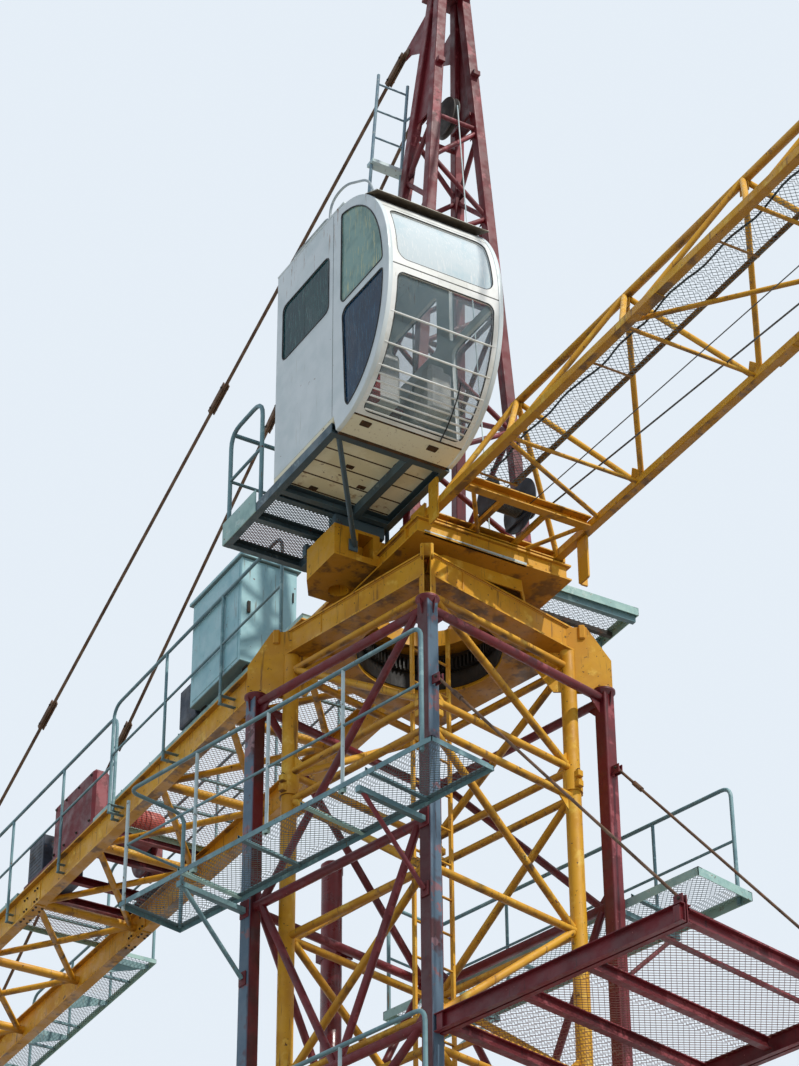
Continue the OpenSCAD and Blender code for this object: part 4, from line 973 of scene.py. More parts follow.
# Introduction platform: it holds the next mast section in front of the open side of the cage.
# Two long beams of channel, cross beams and a mesh floor, hung on two rusty round bars.
ties_steel = finish("tie_steel", tone(0.43, 0.33, 0.25), lambda tree: [
    (mask(tree, 6, 0.42, 0.62), tone(0.34, 0.25, 0.19)),
    (mask(tree, 16, 0.55, 0.68), tone(0.48, 0.31, 0.18)),
    (mask(tree, 30, 0.62, 0.70), tone(0.16, 0.12, 0.10)),
], rough=0.72, metal=0.2)
intro_z = cage_top - 3.545
intro_x0, intro_x1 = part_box("intro_platform")[0].x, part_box("intro_platform")[1].x
intro_parts = []
for side in (-1, 1):
    y = side*post_line
    for back in (-1, 1):
        outline = channel_iron(0.14, 0.042, 0.007)
        if back < 0:
            outline = [(-a, b) for a, b in outline][::-1]
        intro_parts.append(rolled(outline, (intro_x0, y + back*0.008, intro_z - 0.07),
                                  (intro_x1, y + back*0.008, intro_z - 0.07), (0, 1, 0), maroon_paint))
    for x in (intro_x0 + 0.05, intro_x1 - 0.05):
        intro_parts.append(block((x - 0.03, y - 0.045, intro_z - 0.13), (x + 0.03, y + 0.045, intro_z - 0.01),
                                 maroon_paint))
for x in (intro_x0 + 0.05, 1.83, 2.44, intro_x1 - 0.05):
    intro_parts.append(rolled(beam_iron(0.09, 0.06, 0.006, 0.008), (x, -post_line + 0.05, intro_z - 0.065),
                              (x, post_line - 0.05, intro_z - 0.065), (1, 0, 0), maroon_paint))
for x, size in ((2.96, 0.045), (3.36, 0.03)):
    intro_parts.append(rolled(angle_iron(size, -size, 0.005)[::-1], (x, -post_line + 0.05, intro_z - 0.022),
                              (x, post_line - 0.05, intro_z - 0.022), (1, 0, 0), maroon_paint))
piece("intro_frame", intro_parts, "mast", "maroon_paint", "intro_platform")
piece("intro_mesh", [mesh_panel(intro_x0 + 0.01, intro_x1 - 0.01, -post_line + 0.05, post_line - 0.05,
                                intro_z - 0.017, rusty_mesh, 0.06, 0.026, 0.0030,
                                True)], "mast", "maroon_paint")
guy_parts, guy_pins = [], []
for side in (-1, 1):
    top_eye = Vector((post_line + post/2 + 0.045, side*post_line, cage_top - 0.745))
    low_eye = Vector((intro_x1 - 0.04, side*post_line, intro_z + 0.045))
    way = (low_eye - top_eye).normalized()
    guy_parts.append(tubes([[top_eye, low_eye]], 0.012, ties_steel, 12))
    joint = top_eye + way*0.32
    guy_parts.append(rolled(pipe(0.021, 12), joint - way*0.06, joint + way*0.06, (0, 1, 0), ties_steel, True))
    for eye, reach_out in ((top_eye, -0.045), (low_eye, 0)):
        for cheek in (-0.024, 0.014):
            x0, x1 = (post_line + post/2, eye.x + 0.035) if reach_out else (eye.x - 0.05, eye.x + 0.035)
            z0 = eye.z - (0.05 if reach_out else 0.045)
            guy_parts.append(block((x0, eye.y + cheek, z0), (x1, eye.y + cheek + 0.01, eye.z + 0.03),
                                   maroon_paint))
        guy_pins += [(eye + Vector((0, side_out*0.024, 0)), (0, side_out, 0)) for side_out in (-1, 1)]
guy_parts.append(bolts(guy_pins, 0.012, dark_steel))
piece("intro_bars", guy_parts, "mast", "dark_steel", "intro_guys")

# Turntable: a flat box over the ring with a round manhole, guard plates round the ring under its front
# and a chamfered arm that carries the cab. Welded plate, bolted to the ring.
heading = Matrix.Rotation(math.radians(-13.5), 4, "Z")


def upper_piece(name, parts, slot, *nodes):
    """A piece drawn along and across the jib, turned to the jib's heading."""
    for part in parts:
        part.transform(heading)
    return piece(name, parts, "upper", slot, *nodes)


def upper_box(node_name):
    """Lowest and highest corner of a CAD node, measured along and across the jib."""
    back = heading.inverted()
    points = [back @ v.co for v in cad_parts[node_name].data.vertices]
    return (Vector([min(p[i] for p in points) for i in range(3)]),
            Vector([max(p[i] for p in points) for i in range(3)]))


surface("turntable", yellow_paint)
table_low = 15.5609
table_top = table_low + 0.15
beam_top = table_top + 0.18
table_half = 1.05
table_side = 0.73
beam_k = 0.55
table_parts = []
table_bolts = []
for i in range(40):
    a = math.tau*(i + 0.5)/40
    table_bolts.append(((0.655*math.cos(a), 0.655*math.sin(a), table_top), UP))
for side in (-1, 1):
    for edge_z in (table_low + 0.018, table_top - 0.018):
        table_parts.append(tubes([[(-1.02, side*0.702, edge_z), (1.02, side*0.702, edge_z)]], 0.006,
                                 yellow_paint, 6))
    for j in (-0.75, 0.85):
        y0, y1 = sorted((side*0.70, side*0.728))
        table_parts.append(block((j - 0.006, y0, table_low + 0.016), (j + 0.006, y1, table_top - 0.016),
                                 yellow_paint, 0.002))
# A thin pale strip along the front edge under the turntable: its pale paint is a painted reflection of the sky.
table_parts.append(block((1.022, -0.66, table_low), (1.05, 0.30, table_low + 0.03), pale_paint, 0.003))
table_parts.append(bolts(table_bolts, 0.015, dark_steel))
arm_box = [((0.395, -0.70, table_low + 0.05), (0.404, -0.62, beam_top - 0.05)),
           ((0.395, -1.10, table_low + 0.05), (0.404, -1.02, beam_top - 0.05))]
for low_corner, high_corner in arm_box:
    table_parts.append(block(low_corner, high_corner, yellow_paint, 0.002))
upper_piece("turntable_fittings", table_parts, "yellow_paint")

# Side deck: a small platform on the right of the turntable, on two bearers.
# Angle frame with a pale front edge and expanded metal, as on the cage platforms.
deck_top = table_top + 0.13
side_k0, side_k1 = table_side + 0.035, table_side + 0.95
side_parts = angle_frame(0, 0.63, side_k0, side_k1, deck_top, 0.08, mint_paint)
for j in (0.06, 0.57):
    side_parts.append(rolled(square_tube(0.05, 0.09, 0.006), (j, table_side - 0.06, table_top + 0.052),
                             (j, side_k1 - 0.01, table_top + 0.052), (1, 0, 0), green_paint))
side_parts.append(block((0.20, side_k0 + 0.006, deck_top - 0.07), (0.24, side_k1 - 0.006, deck_top - 0.02),
                        dark_steel))
upper_piece("side_deck_frame", side_parts, "grey_green_paint", "side_deck")
upper_piece("side_deck_mesh", [mesh_panel(0.008, 0.622, side_k0 + 0.008, side_k1 - 0.008, deck_top - 0.006,
                                          mesh_steel)], "grey_green_paint")

# Tower head: four legs of square tube that lean in to one cap, upright in front and sloping behind.
# The legs stand on pinned feet, and the zigzag bracing of all four faces is welded between them.
leg = 0.096


def leg_point(front, side, t):
    """The middle of a head leg at the share t of its height: front and side are 1 or -1."""
    j = 0.658 - 0.091*t if front > 0 else -0.407 + 0.855*t
    return Vector((j, side*(0.549 - 0.427*t), beam_top + 0.0203 + 6.28*t))


steps = [0.02, 0.11, 0.21, 0.31, 0.41, 0.50, 0.58, 0.66, 0.74]
head_parts, head_runs, head_pins = [], [], []
for side in (-1, 1):
    for front in (-1, 1):
        low_end, high_end = leg_point(front, side, 0), leg_point(front, side, 1)
        head_parts.append(rolled(square_tube(leg, corner=0.01), low_end, high_end, (1, 0, 0), maroon_paint))
        foot = leg_point(front, side, 0)
        head_parts.append(block((foot.x - 0.1, foot.y - 0.055, beam_top), (foot.x + 0.1, foot.y + 0.055,
                                 beam_top + 0.022), maroon_paint, 0.004))
        for cheek in (-1, 1):
            y = foot.y + cheek*0.048
            head_parts.append(block((foot.x - 0.05, min(y, y + cheek*0.006), beam_top + 0.02),
                                    (foot.x + 0.05, max(y, y + cheek*0.006), beam_top + 0.16), maroon_paint))
        head_pins += [((foot.x + i*0.08, foot.y + k*0.035, beam_top + 0.022), UP)
                      for i in (-1, 1) for k in (-1, 1)]
    for i in range(8):
        a, b = (1, -1) if i % 2 == 0 else (-1, 1)
        head_runs.append([leg_point(a, side, steps[i]), leg_point(b, side, steps[i + 1])])
        for front, t in ((a, steps[i]), (b, steps[i + 1])):
            node_at = leg_point(front, side, t) + Vector((-front*leg/2, 0, 0))
            head_parts.append(gusset(node_at, (-front, 0, 0), (0, 0, 1), 0.09, 0.008, maroon_paint))
    head_runs.append([leg_point(1, side, steps[4]), leg_point(-1, side, steps[4])])
    corners = [leg_point(1, side, 0.76), leg_point(1, side, 1), leg_point(-1, side, 1), leg_point(-1, side, 0.76)]
    outward = Vector((0, 0.006, 0))
    ring = [c + outward for c in corners] + [c - outward for c in corners]
    head_parts.append(plain_mesh("infill", ring, [
        (0, 3, 2, 1), (4, 5, 6, 7), (0, 1, 5, 4), (1, 2, 6, 5), (2, 3, 7, 6), (3, 0, 4, 7)], maroon_paint))
for front in (-1, 1):
    for i in range(8):
        a, b = (front, -front) if i % 2 == 0 else (-front, front)
        head_runs.append([leg_point(front, a, steps[i]), leg_point(front, b, steps[i + 1])])
    for t in (0.414, 0.744):
        head_runs.append([leg_point(front, -1, t), leg_point(front, 1, t)])
head_parts.append(tubes(head_runs, 0.024, maroon_paint, 14))
tie_z = beam_top + 5.93
for side in (-1, 1):
    y = side*(abs(leg_point(1, 1, 0.94).y) + 0.008)
    a, b = leg_point(-1, side, 0.90), leg_point(-1, side, 0.98)
    outline = [(0.07, tie_z - 0.06), (-0.04, tie_z - 0.05), (-0.02, tie_z + 0.06), (b.x, b.z), (a.x, a.z)]
    stand = Matrix.Translation((0, y + 0.008, 0)) @ Matrix.Rotation(math.pi/2, 4, "X")
    head_parts.append(plate(outline, 0.016, stand, maroon_paint))
    at = leg_point(1, side, 0.845)
    head_parts.append(block((at.x + 0.046, at.y - 0.035, at.z - 0.03), (at.x + 0.095, at.y + 0.035, at.z + 0.025),
                            maroon_paint))
head_parts.append(bolts(head_pins, 0.013, dark_steel))
upper_piece("tower_head", head_parts, "maroon_paint", "head_side_left", "head_side_right", "head_braces")

# Cap of the tower head: two cheek plates on a thick plate, with the sheave of the hoist rope between, and a
# second sheave on a pin between the legs below. Grooved cast sheaves on keyed pins.
cap_z = upper_box("head_top")[0].z
cap_j = (leg_point(1, 1, 1).x + leg_point(-1, 1, 1).x)/2
half_j = (leg_point(1, 1, 1).x - leg_point(-1, 1, 1).x)/2
cast_steel = finish("cast_steel", tone(0.30, 0.29, 0.28), lambda tree: [
    (mask(tree, 9, 0.45, 0.65), tone(0.36, 0.33, 0.30)),
    (mask(tree, 20, 0.6, 0.7), tone(0.40, 0.26, 0.16)),
], rough=0.55, metal=0.5)
sheave = [(0.03, -0.03), (0.15, -0.03), (0.15, -0.022), (0.128, 0), (0.15, 0.022), (0.15, 0.03), (0.03, 0.03)]


def sheave_at(place, across, radius, width):
    """A grooved sheave of a radius and width, spun about a pin along across."""
    profile = [(r*radius/0.15, z*width/0.06) for r, z in sheave]
    return spun(profile, 40, pointing(place, across), cast_steel)


pin_at = Vector((cap_j, 0, cap_z + 0.26))
cheek = [(cap_j - half_j - 0.1, cap_z + 0.03), (cap_j + half_j + 0.1, cap_z + 0.03),
         (cap_j + half_j + 0.1, cap_z + 0.22), (cap_j + half_j + 0.02, cap_z + 0.38), (cap_j + 0.06, cap_z + 0.42),
         (cap_j - 0.06, cap_z + 0.42), (cap_j - half_j - 0.02, cap_z + 0.38), (cap_j - half_j - 0.1, cap_z + 0.22)]
cap_parts = [block((cap_j - half_j - 0.12, -0.19, cap_z), (cap_j + half_j + 0.12, 0.19, cap_z + 0.03), maroon_paint),
             sheave_at(pin_at, (0, 1, 0), 0.15, 0.06),
             rolled(pipe(0.03), pin_at - Vector((0, 0.14, 0)), pin_at + Vector((0, 0.14, 0)), (1, 0, 0),
                    dark_steel, True)]
for k in (-0.11, 0.11):
    stand = Matrix.Translation((0, k + 0.012, 0)) @ Matrix.Rotation(math.pi/2, 4, "X")
    cap_parts.append(plate(cheek, 0.024, stand, maroon_paint))
wheel_at = Vector((0.42, 0, 20.76))
cap_parts += [sheave_at(wheel_at, (0, 1, 0), 0.20, 0.06),
              rolled(pipe(0.022), wheel_at - Vector((0, 0.21, 0)), wheel_at + Vector((0, 0.21, 0)), (1, 0, 0),
                     dark_steel, True)]
for k in (-0.17, 0.15):
    cap_parts.append(block((0.25, k, 20.74), (0.59, k + 0.02, 20.78), maroon_paint))
for k in (-0.125, 0.125):
    cap_parts.append(spun([(0.055, 0), (0.055, 0.01), (0.045, 0.014)], 24,
                          pointing((cap_j, k, cap_z + 0.26), (0, k, 0)), dark_steel))
upper_piece("head_cap", cap_parts, "maroon_paint", "head_top")

# Ladder behind the left rear leg: round stiles and rungs on four short brackets, with a foot plate.
# Painted blue-grey, bright where boots have rubbed the rungs.
ladder_paint = finish("ladder_paint", tone(0.52, 0.62, 0.66), lambda tree: [
    (mask(tree, 5, 0.45, 0.62), tone(0.44, 0.54, 0.60)),
    (mask(tree, 14, 0.60, 0.70), tone(0.66, 0.70, 0.70)),
    (mask(tree, 25, 0.66, 0.71), RUST),
], rough=0.5)
ladder_k = -0.55 + 0.145
ladder_low = leg_point(-1, 0, 0.04) + Vector((-0.16, ladder_k, 0))
ladder_high = leg_point(-1, 0, 0.8337) + Vector((-0.16, ladder_k, 0))
ladder_end = leg_point(-1, 0, 0.85) + Vector((-0.16, ladder_k, 0))
stiles, rungs, stays = [], [], []
for k in (-0.155, 0.155):
    off = Vector((0, k, 0))
    stiles.append([ladder_low + off, ladder_end + off])
for i in range(18):
    at = ladder_low.lerp(ladder_high, i/17)
    rungs.append([at - Vector((0, 0.155, 0)), at + Vector((0, 0.155, 0))])
for i in (1, 6, 11, 16):
    at = ladder_low.lerp(ladder_high, i/17)
    stays.append([at + Vector((0, 0.155, 0)), leg_point(-1, -1, 0.04 + 0.7937*i/17)])
foot = ladder_low.lerp(ladder_high, 14/17)
upper_piece("head_ladder_tube", [
    tubes(stiles, 0.015, ladder_paint, 12), tubes(rungs, 0.010, ladder_paint, 10),
    tubes(stays, 0.012, ladder_paint, 10),
    block((foot.x - 0.06, foot.y - 0.17, foot.z - 0.012), (foot.x + 0.05, foot.y + 0.17, foot.z + 0.03),
          pale_paint, 0.004)], "grey_green_paint", "head_ladder")

# Cab platform: three long beams and cross beams on the turntable and its arm, with grating behind the cab,
# a mint toe board and a slanted strut to the arm. Bolted channel, painted blue-grey.
blue_paint = finish("blue_grey_paint", tone(0.32, 0.41, 0.45), lambda tree: [
    (mask(tree, 3.0, 0.44, 0.62), tone(0.26, 0.34, 0.38)),
    (mask(tree, 9.0, 0.58, 0.67), tone(0.46, 0.54, 0.55)),
    # Undersides darker: painted shade.
    (facing(tree, DOWN, 0.3, 0.9), tone(0.21, 0.27, 0.29)),
    (mask(tree, 5.0, 0.62, 0.72, RUNS), tone(0.40, 0.32, 0.26)),
    (mask(tree, 20, 0.66, 0.70), RUST),
], rough=0.55)
platform_z = beam_top + 0.198
cab_side_k = -0.611
cab_width = 1.056
cab_j0 = 0.368
cab_flat = 0.982
cab_j1 = cab_j0 + cab_flat
pk0, pk1 = cab_side_k - cab_width - 0.004, cab_side_k + 0.018
pj0, pj1 = -0.5, cab_j1 - 0.02
stand_parts = []
for k, flange in ((pk0, 0.06), (-0.96, 0.06), (pk1, -0.06)):
    outline = channel_iron(0.088, abs(flange), 0.007)
    if flange < 0:
        outline = [(-a, b) for a, b in outline][::-1]
    stand_parts.append(rolled(outline, (pj0, k, platform_z - 0.046), (pj1, k, platform_z - 0.046), (0, 1, 0),
                              blue_paint))
for j in (pj0, -0.06, 0.30, 0.39, pj1 - 0.06):
    stand_parts.append(rolled(channel_iron(0.084, 0.056, 0.007), (j, pk0 + 0.006, platform_z - 0.046),
                              (j, pk1 - 0.006, platform_z - 0.046), (1, 0, 0), blue_paint))
for j in (-0.18, 0.32):
    for k0, k1 in ((-1.10, -0.64), (-0.604, pk1 - 0.002)):
        stand_parts.append(block((j, k0, beam_top + 0.0003), (j + 0.06, k1, platform_z - 0.088), blue_paint, 0.004))
stand_parts.append(block((pj0, pk0 - 0.008, platform_z - 0.09), (0.08, pk0, platform_z + 0.13), mint_paint, 0.002))
stand_parts.append(tubes([[(pj1 - 0.06, pk0 + 0.1, platform_z - 0.07), (0.414, -0.94, table_low + 0.152)]],
                         0.022, blue_paint, 14))
stand_parts.append(block((0.4003, -0.99, table_low + 0.10), (0.416, -0.91, table_low + 0.21), blue_paint, 0.003))
feet = [((j + 0.03, k, platform_z - 0.088), DOWN) for j in (-0.18, 0.32) for k in (-1.08, -0.86, -0.66)]
stand_parts.append(bolts(feet, 0.009, dark_steel))
upper_piece("cab_stand", stand_parts, "grey_green_paint", "cab_platform")
upper_piece("cab_stand_mesh", [
    mesh_panel(-0.06, 0.30, pk0 + 0.01, pk1 - 0.01, platform_z - 0.004, mesh_steel, 0.036, 0.014, 0.0044),
    mesh_panel(pj0 + 0.01, -0.06, pk0 + 0.01, pk1 - 0.01, platform_z - 0.004, rusty_mesh, 0.036, 0.014, 0.0044)],
    "grey_green_paint")

# Rail loops behind the cab: bent from one tube each, with rounded tops.
# They are welded to the platform's edge beam.
rail_k = cab_side_k - cab_width + 0.03
inner_k = cab_side_k - 0.06
rz = platform_z
upper_piece("cab_rail_loops", [
    tubes([bent([(-0.47, rail_k, rz - 0.06), (-0.47, rail_k, rz + 1.05), (0.09, rail_k, rz + 1.05),
                 (0.09, rail_k, rz - 0.06)], 0.16),
           bent([(-0.47, rail_k + 0.02, rz + 1.05), (-0.47, inner_k, rz + 1.05),
                 (-0.47, inner_k, rz - 0.06)], 0.16)], 0.019, green_paint, 14),
    tubes([[(-0.47, rail_k, rz + 0.56), (0.09, rail_k, rz + 0.56)],
           [(-0.47, rail_k, rz + 0.56), (-0.47, inner_k, rz + 0.56)]], 0.014, green_paint, 12)],
    "grey_green_paint", "cab_rails")

# Cab: a moulded shell on a steel floor, flat at the back and round in front, with windows cut through.
# The sides are pressed sheet with a white rim round the front panes; the paint is chalky and rust-stained.
cab_paint = finish("cab_paint", tone(0.90, 0.89, 0.84), lambda tree: [
    (mask(tree, 1.8, 0.42, 0.62), tone(0.86, 0.85, 0.79)),
    # Undersides a little darker and warmer: painted shade.
    (facing(tree, DOWN, 0.3, 0.9), tone(0.90, 0.87, 0.76)),
    (mask(tree, 3.0, 0.58, 0.74, RUNS), tone(0.74, 0.69, 0.58)),
    (both(tree, mask(tree, 4.5, 0.62, 0.70, RUNS), mask(tree, 1.3, 0.5, 0.6)), tone(0.58, 0.38, 0.22)),
    (mask(tree, 17, 0.68, 0.73), tone(0.50, 0.30, 0.16)),
], rough=0.42)
side_paint = finish("cab_side_paint", tone(0.87, 0.90, 0.90), lambda tree: [
    (mask(tree, 1.8, 0.42, 0.62), tone(0.83, 0.87, 0.87)),
    (mask(tree, 3.0, 0.62, 0.78, RUNS), tone(0.76, 0.78, 0.74)),
    (both(tree, mask(tree, 4.5, 0.60, 0.66, RUNS), facing(tree, UP, 17.8, 18.1, "Object")),
     tone(0.56, 0.38, 0.24)),
    (mask(tree, 17, 0.71, 0.76), tone(0.50, 0.32, 0.18)),
], rough=0.42)
white_paint = finish("cab_white_paint", tone(0.94, 0.94, 0.92), lambda tree: [
    (mask(tree, 2.4, 0.46, 0.62), tone(0.88, 0.88, 0.85)),
    (mask(tree, 7.0, 0.64, 0.70, RUNS), tone(0.66, 0.60, 0.50)),
], rough=0.4)
cab_dark = finish("cab_seal", tone(0.09, 0.09, 0.10), lambda tree: [
    (mask(tree, 18, 0.45, 0.65), tone(0.15, 0.15, 0.15)),
], rough=0.6)
cab_base = platform_z + 0.0003
nose_z = cab_base + 1.011
nose_h = 1.122
nose_reach = 0.872
wall = 0.04
k_out, k_in = cab_side_k - cab_width, cab_side_k


def curve_power(x, e=0.91):
    return math.copysign(abs(x)**e, x)


def nose(degrees, depth=0.0):
    """A point of the round front at an angle from straight ahead, at a depth below its surface."""
    a = math.radians(degrees)
    return (cab_j1 + (nose_reach - depth)*curve_power(math.cos(a)),
            nose_z + (nose_h - depth)*curve_power(math.sin(a)))


def nose_arc(start, end, depth, n):
    return [nose(start + (end - start)*i/n, depth) for i in range(n + 1)]


def softened(corners, radius=0.05, steps=4):
    """A closed outline with its corners rounded."""
    result = []
    n = len(corners)
    for i, corner in enumerate(corners):
        before, after = Vector(corners[i - 1]), Vector(corners[(i + 1) % n])
        corner = Vector(corner)
        a, b = before - corner, after - corner
        if a.normalized().dot(b.normalized()) < -0.93:
            result.append(tuple(corner))
            continue
        cut = min(radius, a.length*0.48, b.length*0.48)
        start, end = corner + a.normalized()*cut, corner + b.normalized()*cut
        for s_ in range(steps + 1):
            t = s_/steps
            result.append(tuple(start*(1 - t)**2 + corner*2*t*(1 - t) + end*t*t))
    return result


def cut_sheet(name, outline, holes, thick, made, edge=0.004):
    """A sheet cut to an outline with openings, drawn flat and centred on its thickness, edges softened."""
    drawing = bpy.data.curves.new(name, "CURVE")
    drawing.dimensions = "2D"
    drawing.fill_mode = "BOTH"
    drawing.extrude = thick/2 - edge
    drawing.bevel_depth = edge
    drawing.bevel_resolution = 1
    drawing.offset = -edge
    for loop in [outline] + holes:
        spline = drawing.splines.new("POLY")
        spline.points.add(len(loop) - 1)
        for point, (x, y) in zip(spline.points, loop):
            point.co = (x, y, 0, 1)
        spline.use_cyclic_u = True
    holder = bpy.data.objects.new(name, drawing)
    scene.collection.objects.link(holder)
    mesh = bpy.data.meshes.new_from_object(holder.evaluated_get(bpy.context.evaluated_depsgraph_get()))
    bpy.data.objects.remove(holder)
    mesh.materials.clear()
    mesh.materials.append(made)
    shape = bmesh.new()
    shape.from_mesh(mesh)
    bmesh.ops.remove_doubles(shape, verts=shape.verts, dist=0.00005)
    bmesh.ops.recalc_face_normals(shape, faces=shape.faces)
    shape.to_mesh(mesh)
    shape.free()
    return mesh


def standing(k):
    """Stands a drawing of (along, up) across the jib at k."""
    return Matrix.Translation((0, k, 0)) @ Matrix.Rotation(math.pi/2, 4, "X")


rim = 0.095
shell = ([(cab_j0, cab_base + 0.0503), (cab_j1, cab_base + 0.0503)] + nose_arc(-88, 90, 0, 48)
         + [(cab_j0, nose_z + nose_h)])
upper_pane = softened([(cab_j1 + 0.15, nose_z + 0.085)] + nose_arc(4, 83, rim, 24)
                      + [(cab_j1 + 0.11, nose_z + 0.125)], 0.05)
lower_pane = softened([(cab_j1 + 0.135, nose_z - 0.045), (cab_j1 + 0.175, nose_z + 0.005)]
                      + nose_arc(0, -75, rim, 24) + [(cab_j1 + 0.19, nose_z - 0.94)], 0.05)
slide = softened([(cab_j0 + 0.107, nose_z + 0.16), (cab_j1 - 0.09, nose_z + 0.16),
                  (cab_j1 - 0.09, nose_z + 0.735), (cab_j0 + 0.107, nose_z + 0.735)], 0.07)
cab_parts = []
for k in (k_out + wall/2, k_in - wall/2):
    side_sheet = cut_sheet("cab_side", shell, [upper_pane, lower_pane, slide], wall, side_paint)
    side_sheet.transform(standing(k))
    cab_parts.append(side_sheet)
back = [(k_out + wall, cab_base + 0.0503), (k_in - wall, cab_base + 0.0503), (k_in - wall, nose_z + nose_h),
        (k_out + wall, nose_z + nose_h)]
back_hole = softened([(k_out + 0.25, cab_base + 0.95), (k_in - 0.25, cab_base + 0.95),
                      (k_in - 0.25, nose_z + nose_h - 0.18), (k_out + 0.25, nose_z + nose_h - 0.18)], 0.06)
across_jib = Matrix(((0, 0, 1, cab_j0 + wall/2), (1, 0, 0, 0), (0, 1, 0, 0), (0, 0, 0, 1)))
back_sheet = cut_sheet("cab_back", back, [back_hole], wall, cab_paint)
back_sheet.transform(across_jib)
cab_parts.append(back_sheet)
for k in (k_out, k_in):
    cab_parts.append(block((cab_j1 - 0.023, k - 0.001, cab_base + 0.06),
                           (cab_j1 - 0.018, k + 0.001, nose_z + nose_h - 0.02), cab_dark, 0.0005))
upper_piece("cab_shell", cab_parts, "cab_paint", "cab_walls")

# Seals of the side and rear windows: black rubber pressed round each opening, over the pane.
# The sliding side window has a middle rail where its two panes meet.
seal_runs = []
for k in (k_out - 0.001, k_in + 0.001):
    for loop in (upper_pane, lower_pane, slide):
        ring = [(j, k, z) for j, z in loop]
        seal_runs.append(ring + ring[:1])
slide_mid = cab_j0 + 0.107 + (cab_flat - 0.197)*0.46
for k in (k_out + 0.012, k_in - 0.012):
    seal_runs.append([(slide_mid, k, nose_z + 0.17), (slide_mid, k, nose_z + 0.725)])
back_ring = [(cab_j0 - 0.001, k, z) for k, z in back_hole]
seal_runs.append(back_ring + back_ring[:1])
upper_piece("cab_window_seals", [tubes(seal_runs, 0.006, cab_dark, 8)], "cab_paint")

# Panes: flat tinted glass in the sides and the back, and bent glass in front: a hazed pane above and a
# clear one below, behind the guard rods.


def pane_finish(name, ground, cloudy, streaks, alpha, rough=0.04):
    """Glass with a film of dust: its colour, its cloudy patches, the streaks of rain and how much it hides."""
    made = bpy.data.materials.new(name)
    made.use_nodes = True
    shader = made.node_tree.nodes["Principled BSDF"]
    shader.inputs["Roughness"].default_value = rough
    shader.inputs["IOR"].default_value = 1.2
    shader.inputs["Alpha"].default_value = alpha
    made.node_tree.links.new(coloured(made.node_tree, [
        (mask(made.node_tree, 3, 0.45, 0.65), cloudy),
        (mask(made.node_tree, 8, 0.54, 0.64, RUNS), streaks),
    ], ground), shader.inputs["Base Color"])
    return made


glass = pane_finish("tinted_glass", tone(0.06, 0.25, 0.28), tone(0.12, 0.30, 0.31), tone(0.28, 0.44, 0.43), 0.88)
blue_glass = pane_finish("blue_glass", tone(0.05, 0.20, 0.31), tone(0.08, 0.25, 0.37), tone(0.20, 0.36, 0.45), 0.88)
curtain_glass = pane_finish("curtain_glass", tone(0.58, 0.72, 0.68), tone(0.46, 0.60, 0.57),
                            tone(0.80, 0.82, 0.64), 0.88)
hazed_glass = pane_finish("hazed_glass", tone(0.86, 0.90, 0.91), tone(0.80, 0.87, 0.89), tone(0.92, 0.94, 0.94),
                          0.93, 0.12)
clear_glass = pane_finish("clear_glass", tone(0.55, 0.64, 0.68), tone(0.62, 0.70, 0.72), tone(0.72, 0.76, 0.76), 0.20)


def bent_sheet(start, end, depth, thick, k0, k1, made, n):
    """A sheet bent to the round front between two angles, across the cab from k0 to k1."""
    outside, inside = nose_arc(start, end, depth, n), nose_arc(start, end, depth + thick, n)
    points = [(j, k, z) for k in (k0, k1) for row in (outside, inside) for j, z in row]
    m = n + 1
    faces = []
    for i in range(n):
        faces += [(i, i + 1, 2*m + i + 1, 2*m + i), (m + i, 3*m + i, 3*m + i + 1, m + i + 1),
                  (i, m + i, m + i + 1, i + 1), (2*m + i, 2*m + i + 1, 3*m + i + 1, 3*m + i)]
    faces += [(0, 2*m, 3*m, m), (n, m + n, 3*m + n, 2*m + n)]
    mesh = plain_mesh("bent", points, faces, made, smooth=True)
    shape = bmesh.new()
    shape.from_mesh(mesh)
    bmesh.ops.recalc_face_normals(shape, faces=shape.faces)
    shape.to_mesh(mesh)
    shape.free()
    mesh.set_sharp_from_angle(angle=math.radians(40))
    return mesh


face_k0, face_k1 = k_out + wall + 0.0003, k_in - wall - 0.0003
flat_panes = []
for k, finishes in ((k_out + 0.012, (curtain_glass, blue_glass, glass)), (k_in - 0.007, (clear_glass,)*3)):
    for loop, made in zip((upper_pane, lower_pane, slide), finishes):
        middle = Vector((sum(x for x, y in loop)/len(loop), sum(y for x, y in loop)/len(loop)))
        wider = [tuple(middle + (Vector(p) - middle)*(1 + 0.006/(Vector(p) - middle).length)) for p in loop]
        flat_panes.append(plate(wider, 0.005, standing(k), made))
back_pane = [(k_out + 0.23, cab_base + 0.93), (k_in - 0.23, cab_base + 0.93),
             (k_in - 0.23, nose_z + nose_h - 0.16), (k_out + 0.23, nose_z + nose_h - 0.16)]
flat_panes.append(plate(back_pane, 0.005, across_jib @ Matrix.Translation((0, 0, wall/2)), clear_glass))
upper_piece("cab_side_panes", flat_panes, "cab_glass", "cab_glass")
upper_piece("cab_front_panes", [bent_sheet(4, 38.5, 0.026, 0.006, face_k0, face_k1, hazed_glass, 14),
                                bent_sheet(-74.5, -3, 0.026, 0.006, face_k0, face_k1, clear_glass, 28)],
            "cab_glass", "cab_windscreen")

# Frame of the round front: header under a sun visor, a frame with round corners about each pane, closed
# panel below, and the guard rods across the glass. Pressed sheet and round bar, white over black seals.
joint_brown = finish("joint_brown", tone(0.25, 0.18, 0.12), lambda tree: [
    (mask(tree, 12, 0.45, 0.65), tone(0.36, 0.24, 0.14)),
], rough=0.7, gloss=0.2)
visor_paint = finish("visor_paint", tone(0.80, 0.79, 0.73), lambda tree: [
    # Underside of the visor much darker: painted shade.
    (facing(tree, DOWN, 0.1, 0.5), tone(0.33, 0.28, 0.22)),
    (mask(tree, 8, 0.55, 0.66), tone(0.52, 0.46, 0.38)),
], rough=0.6)


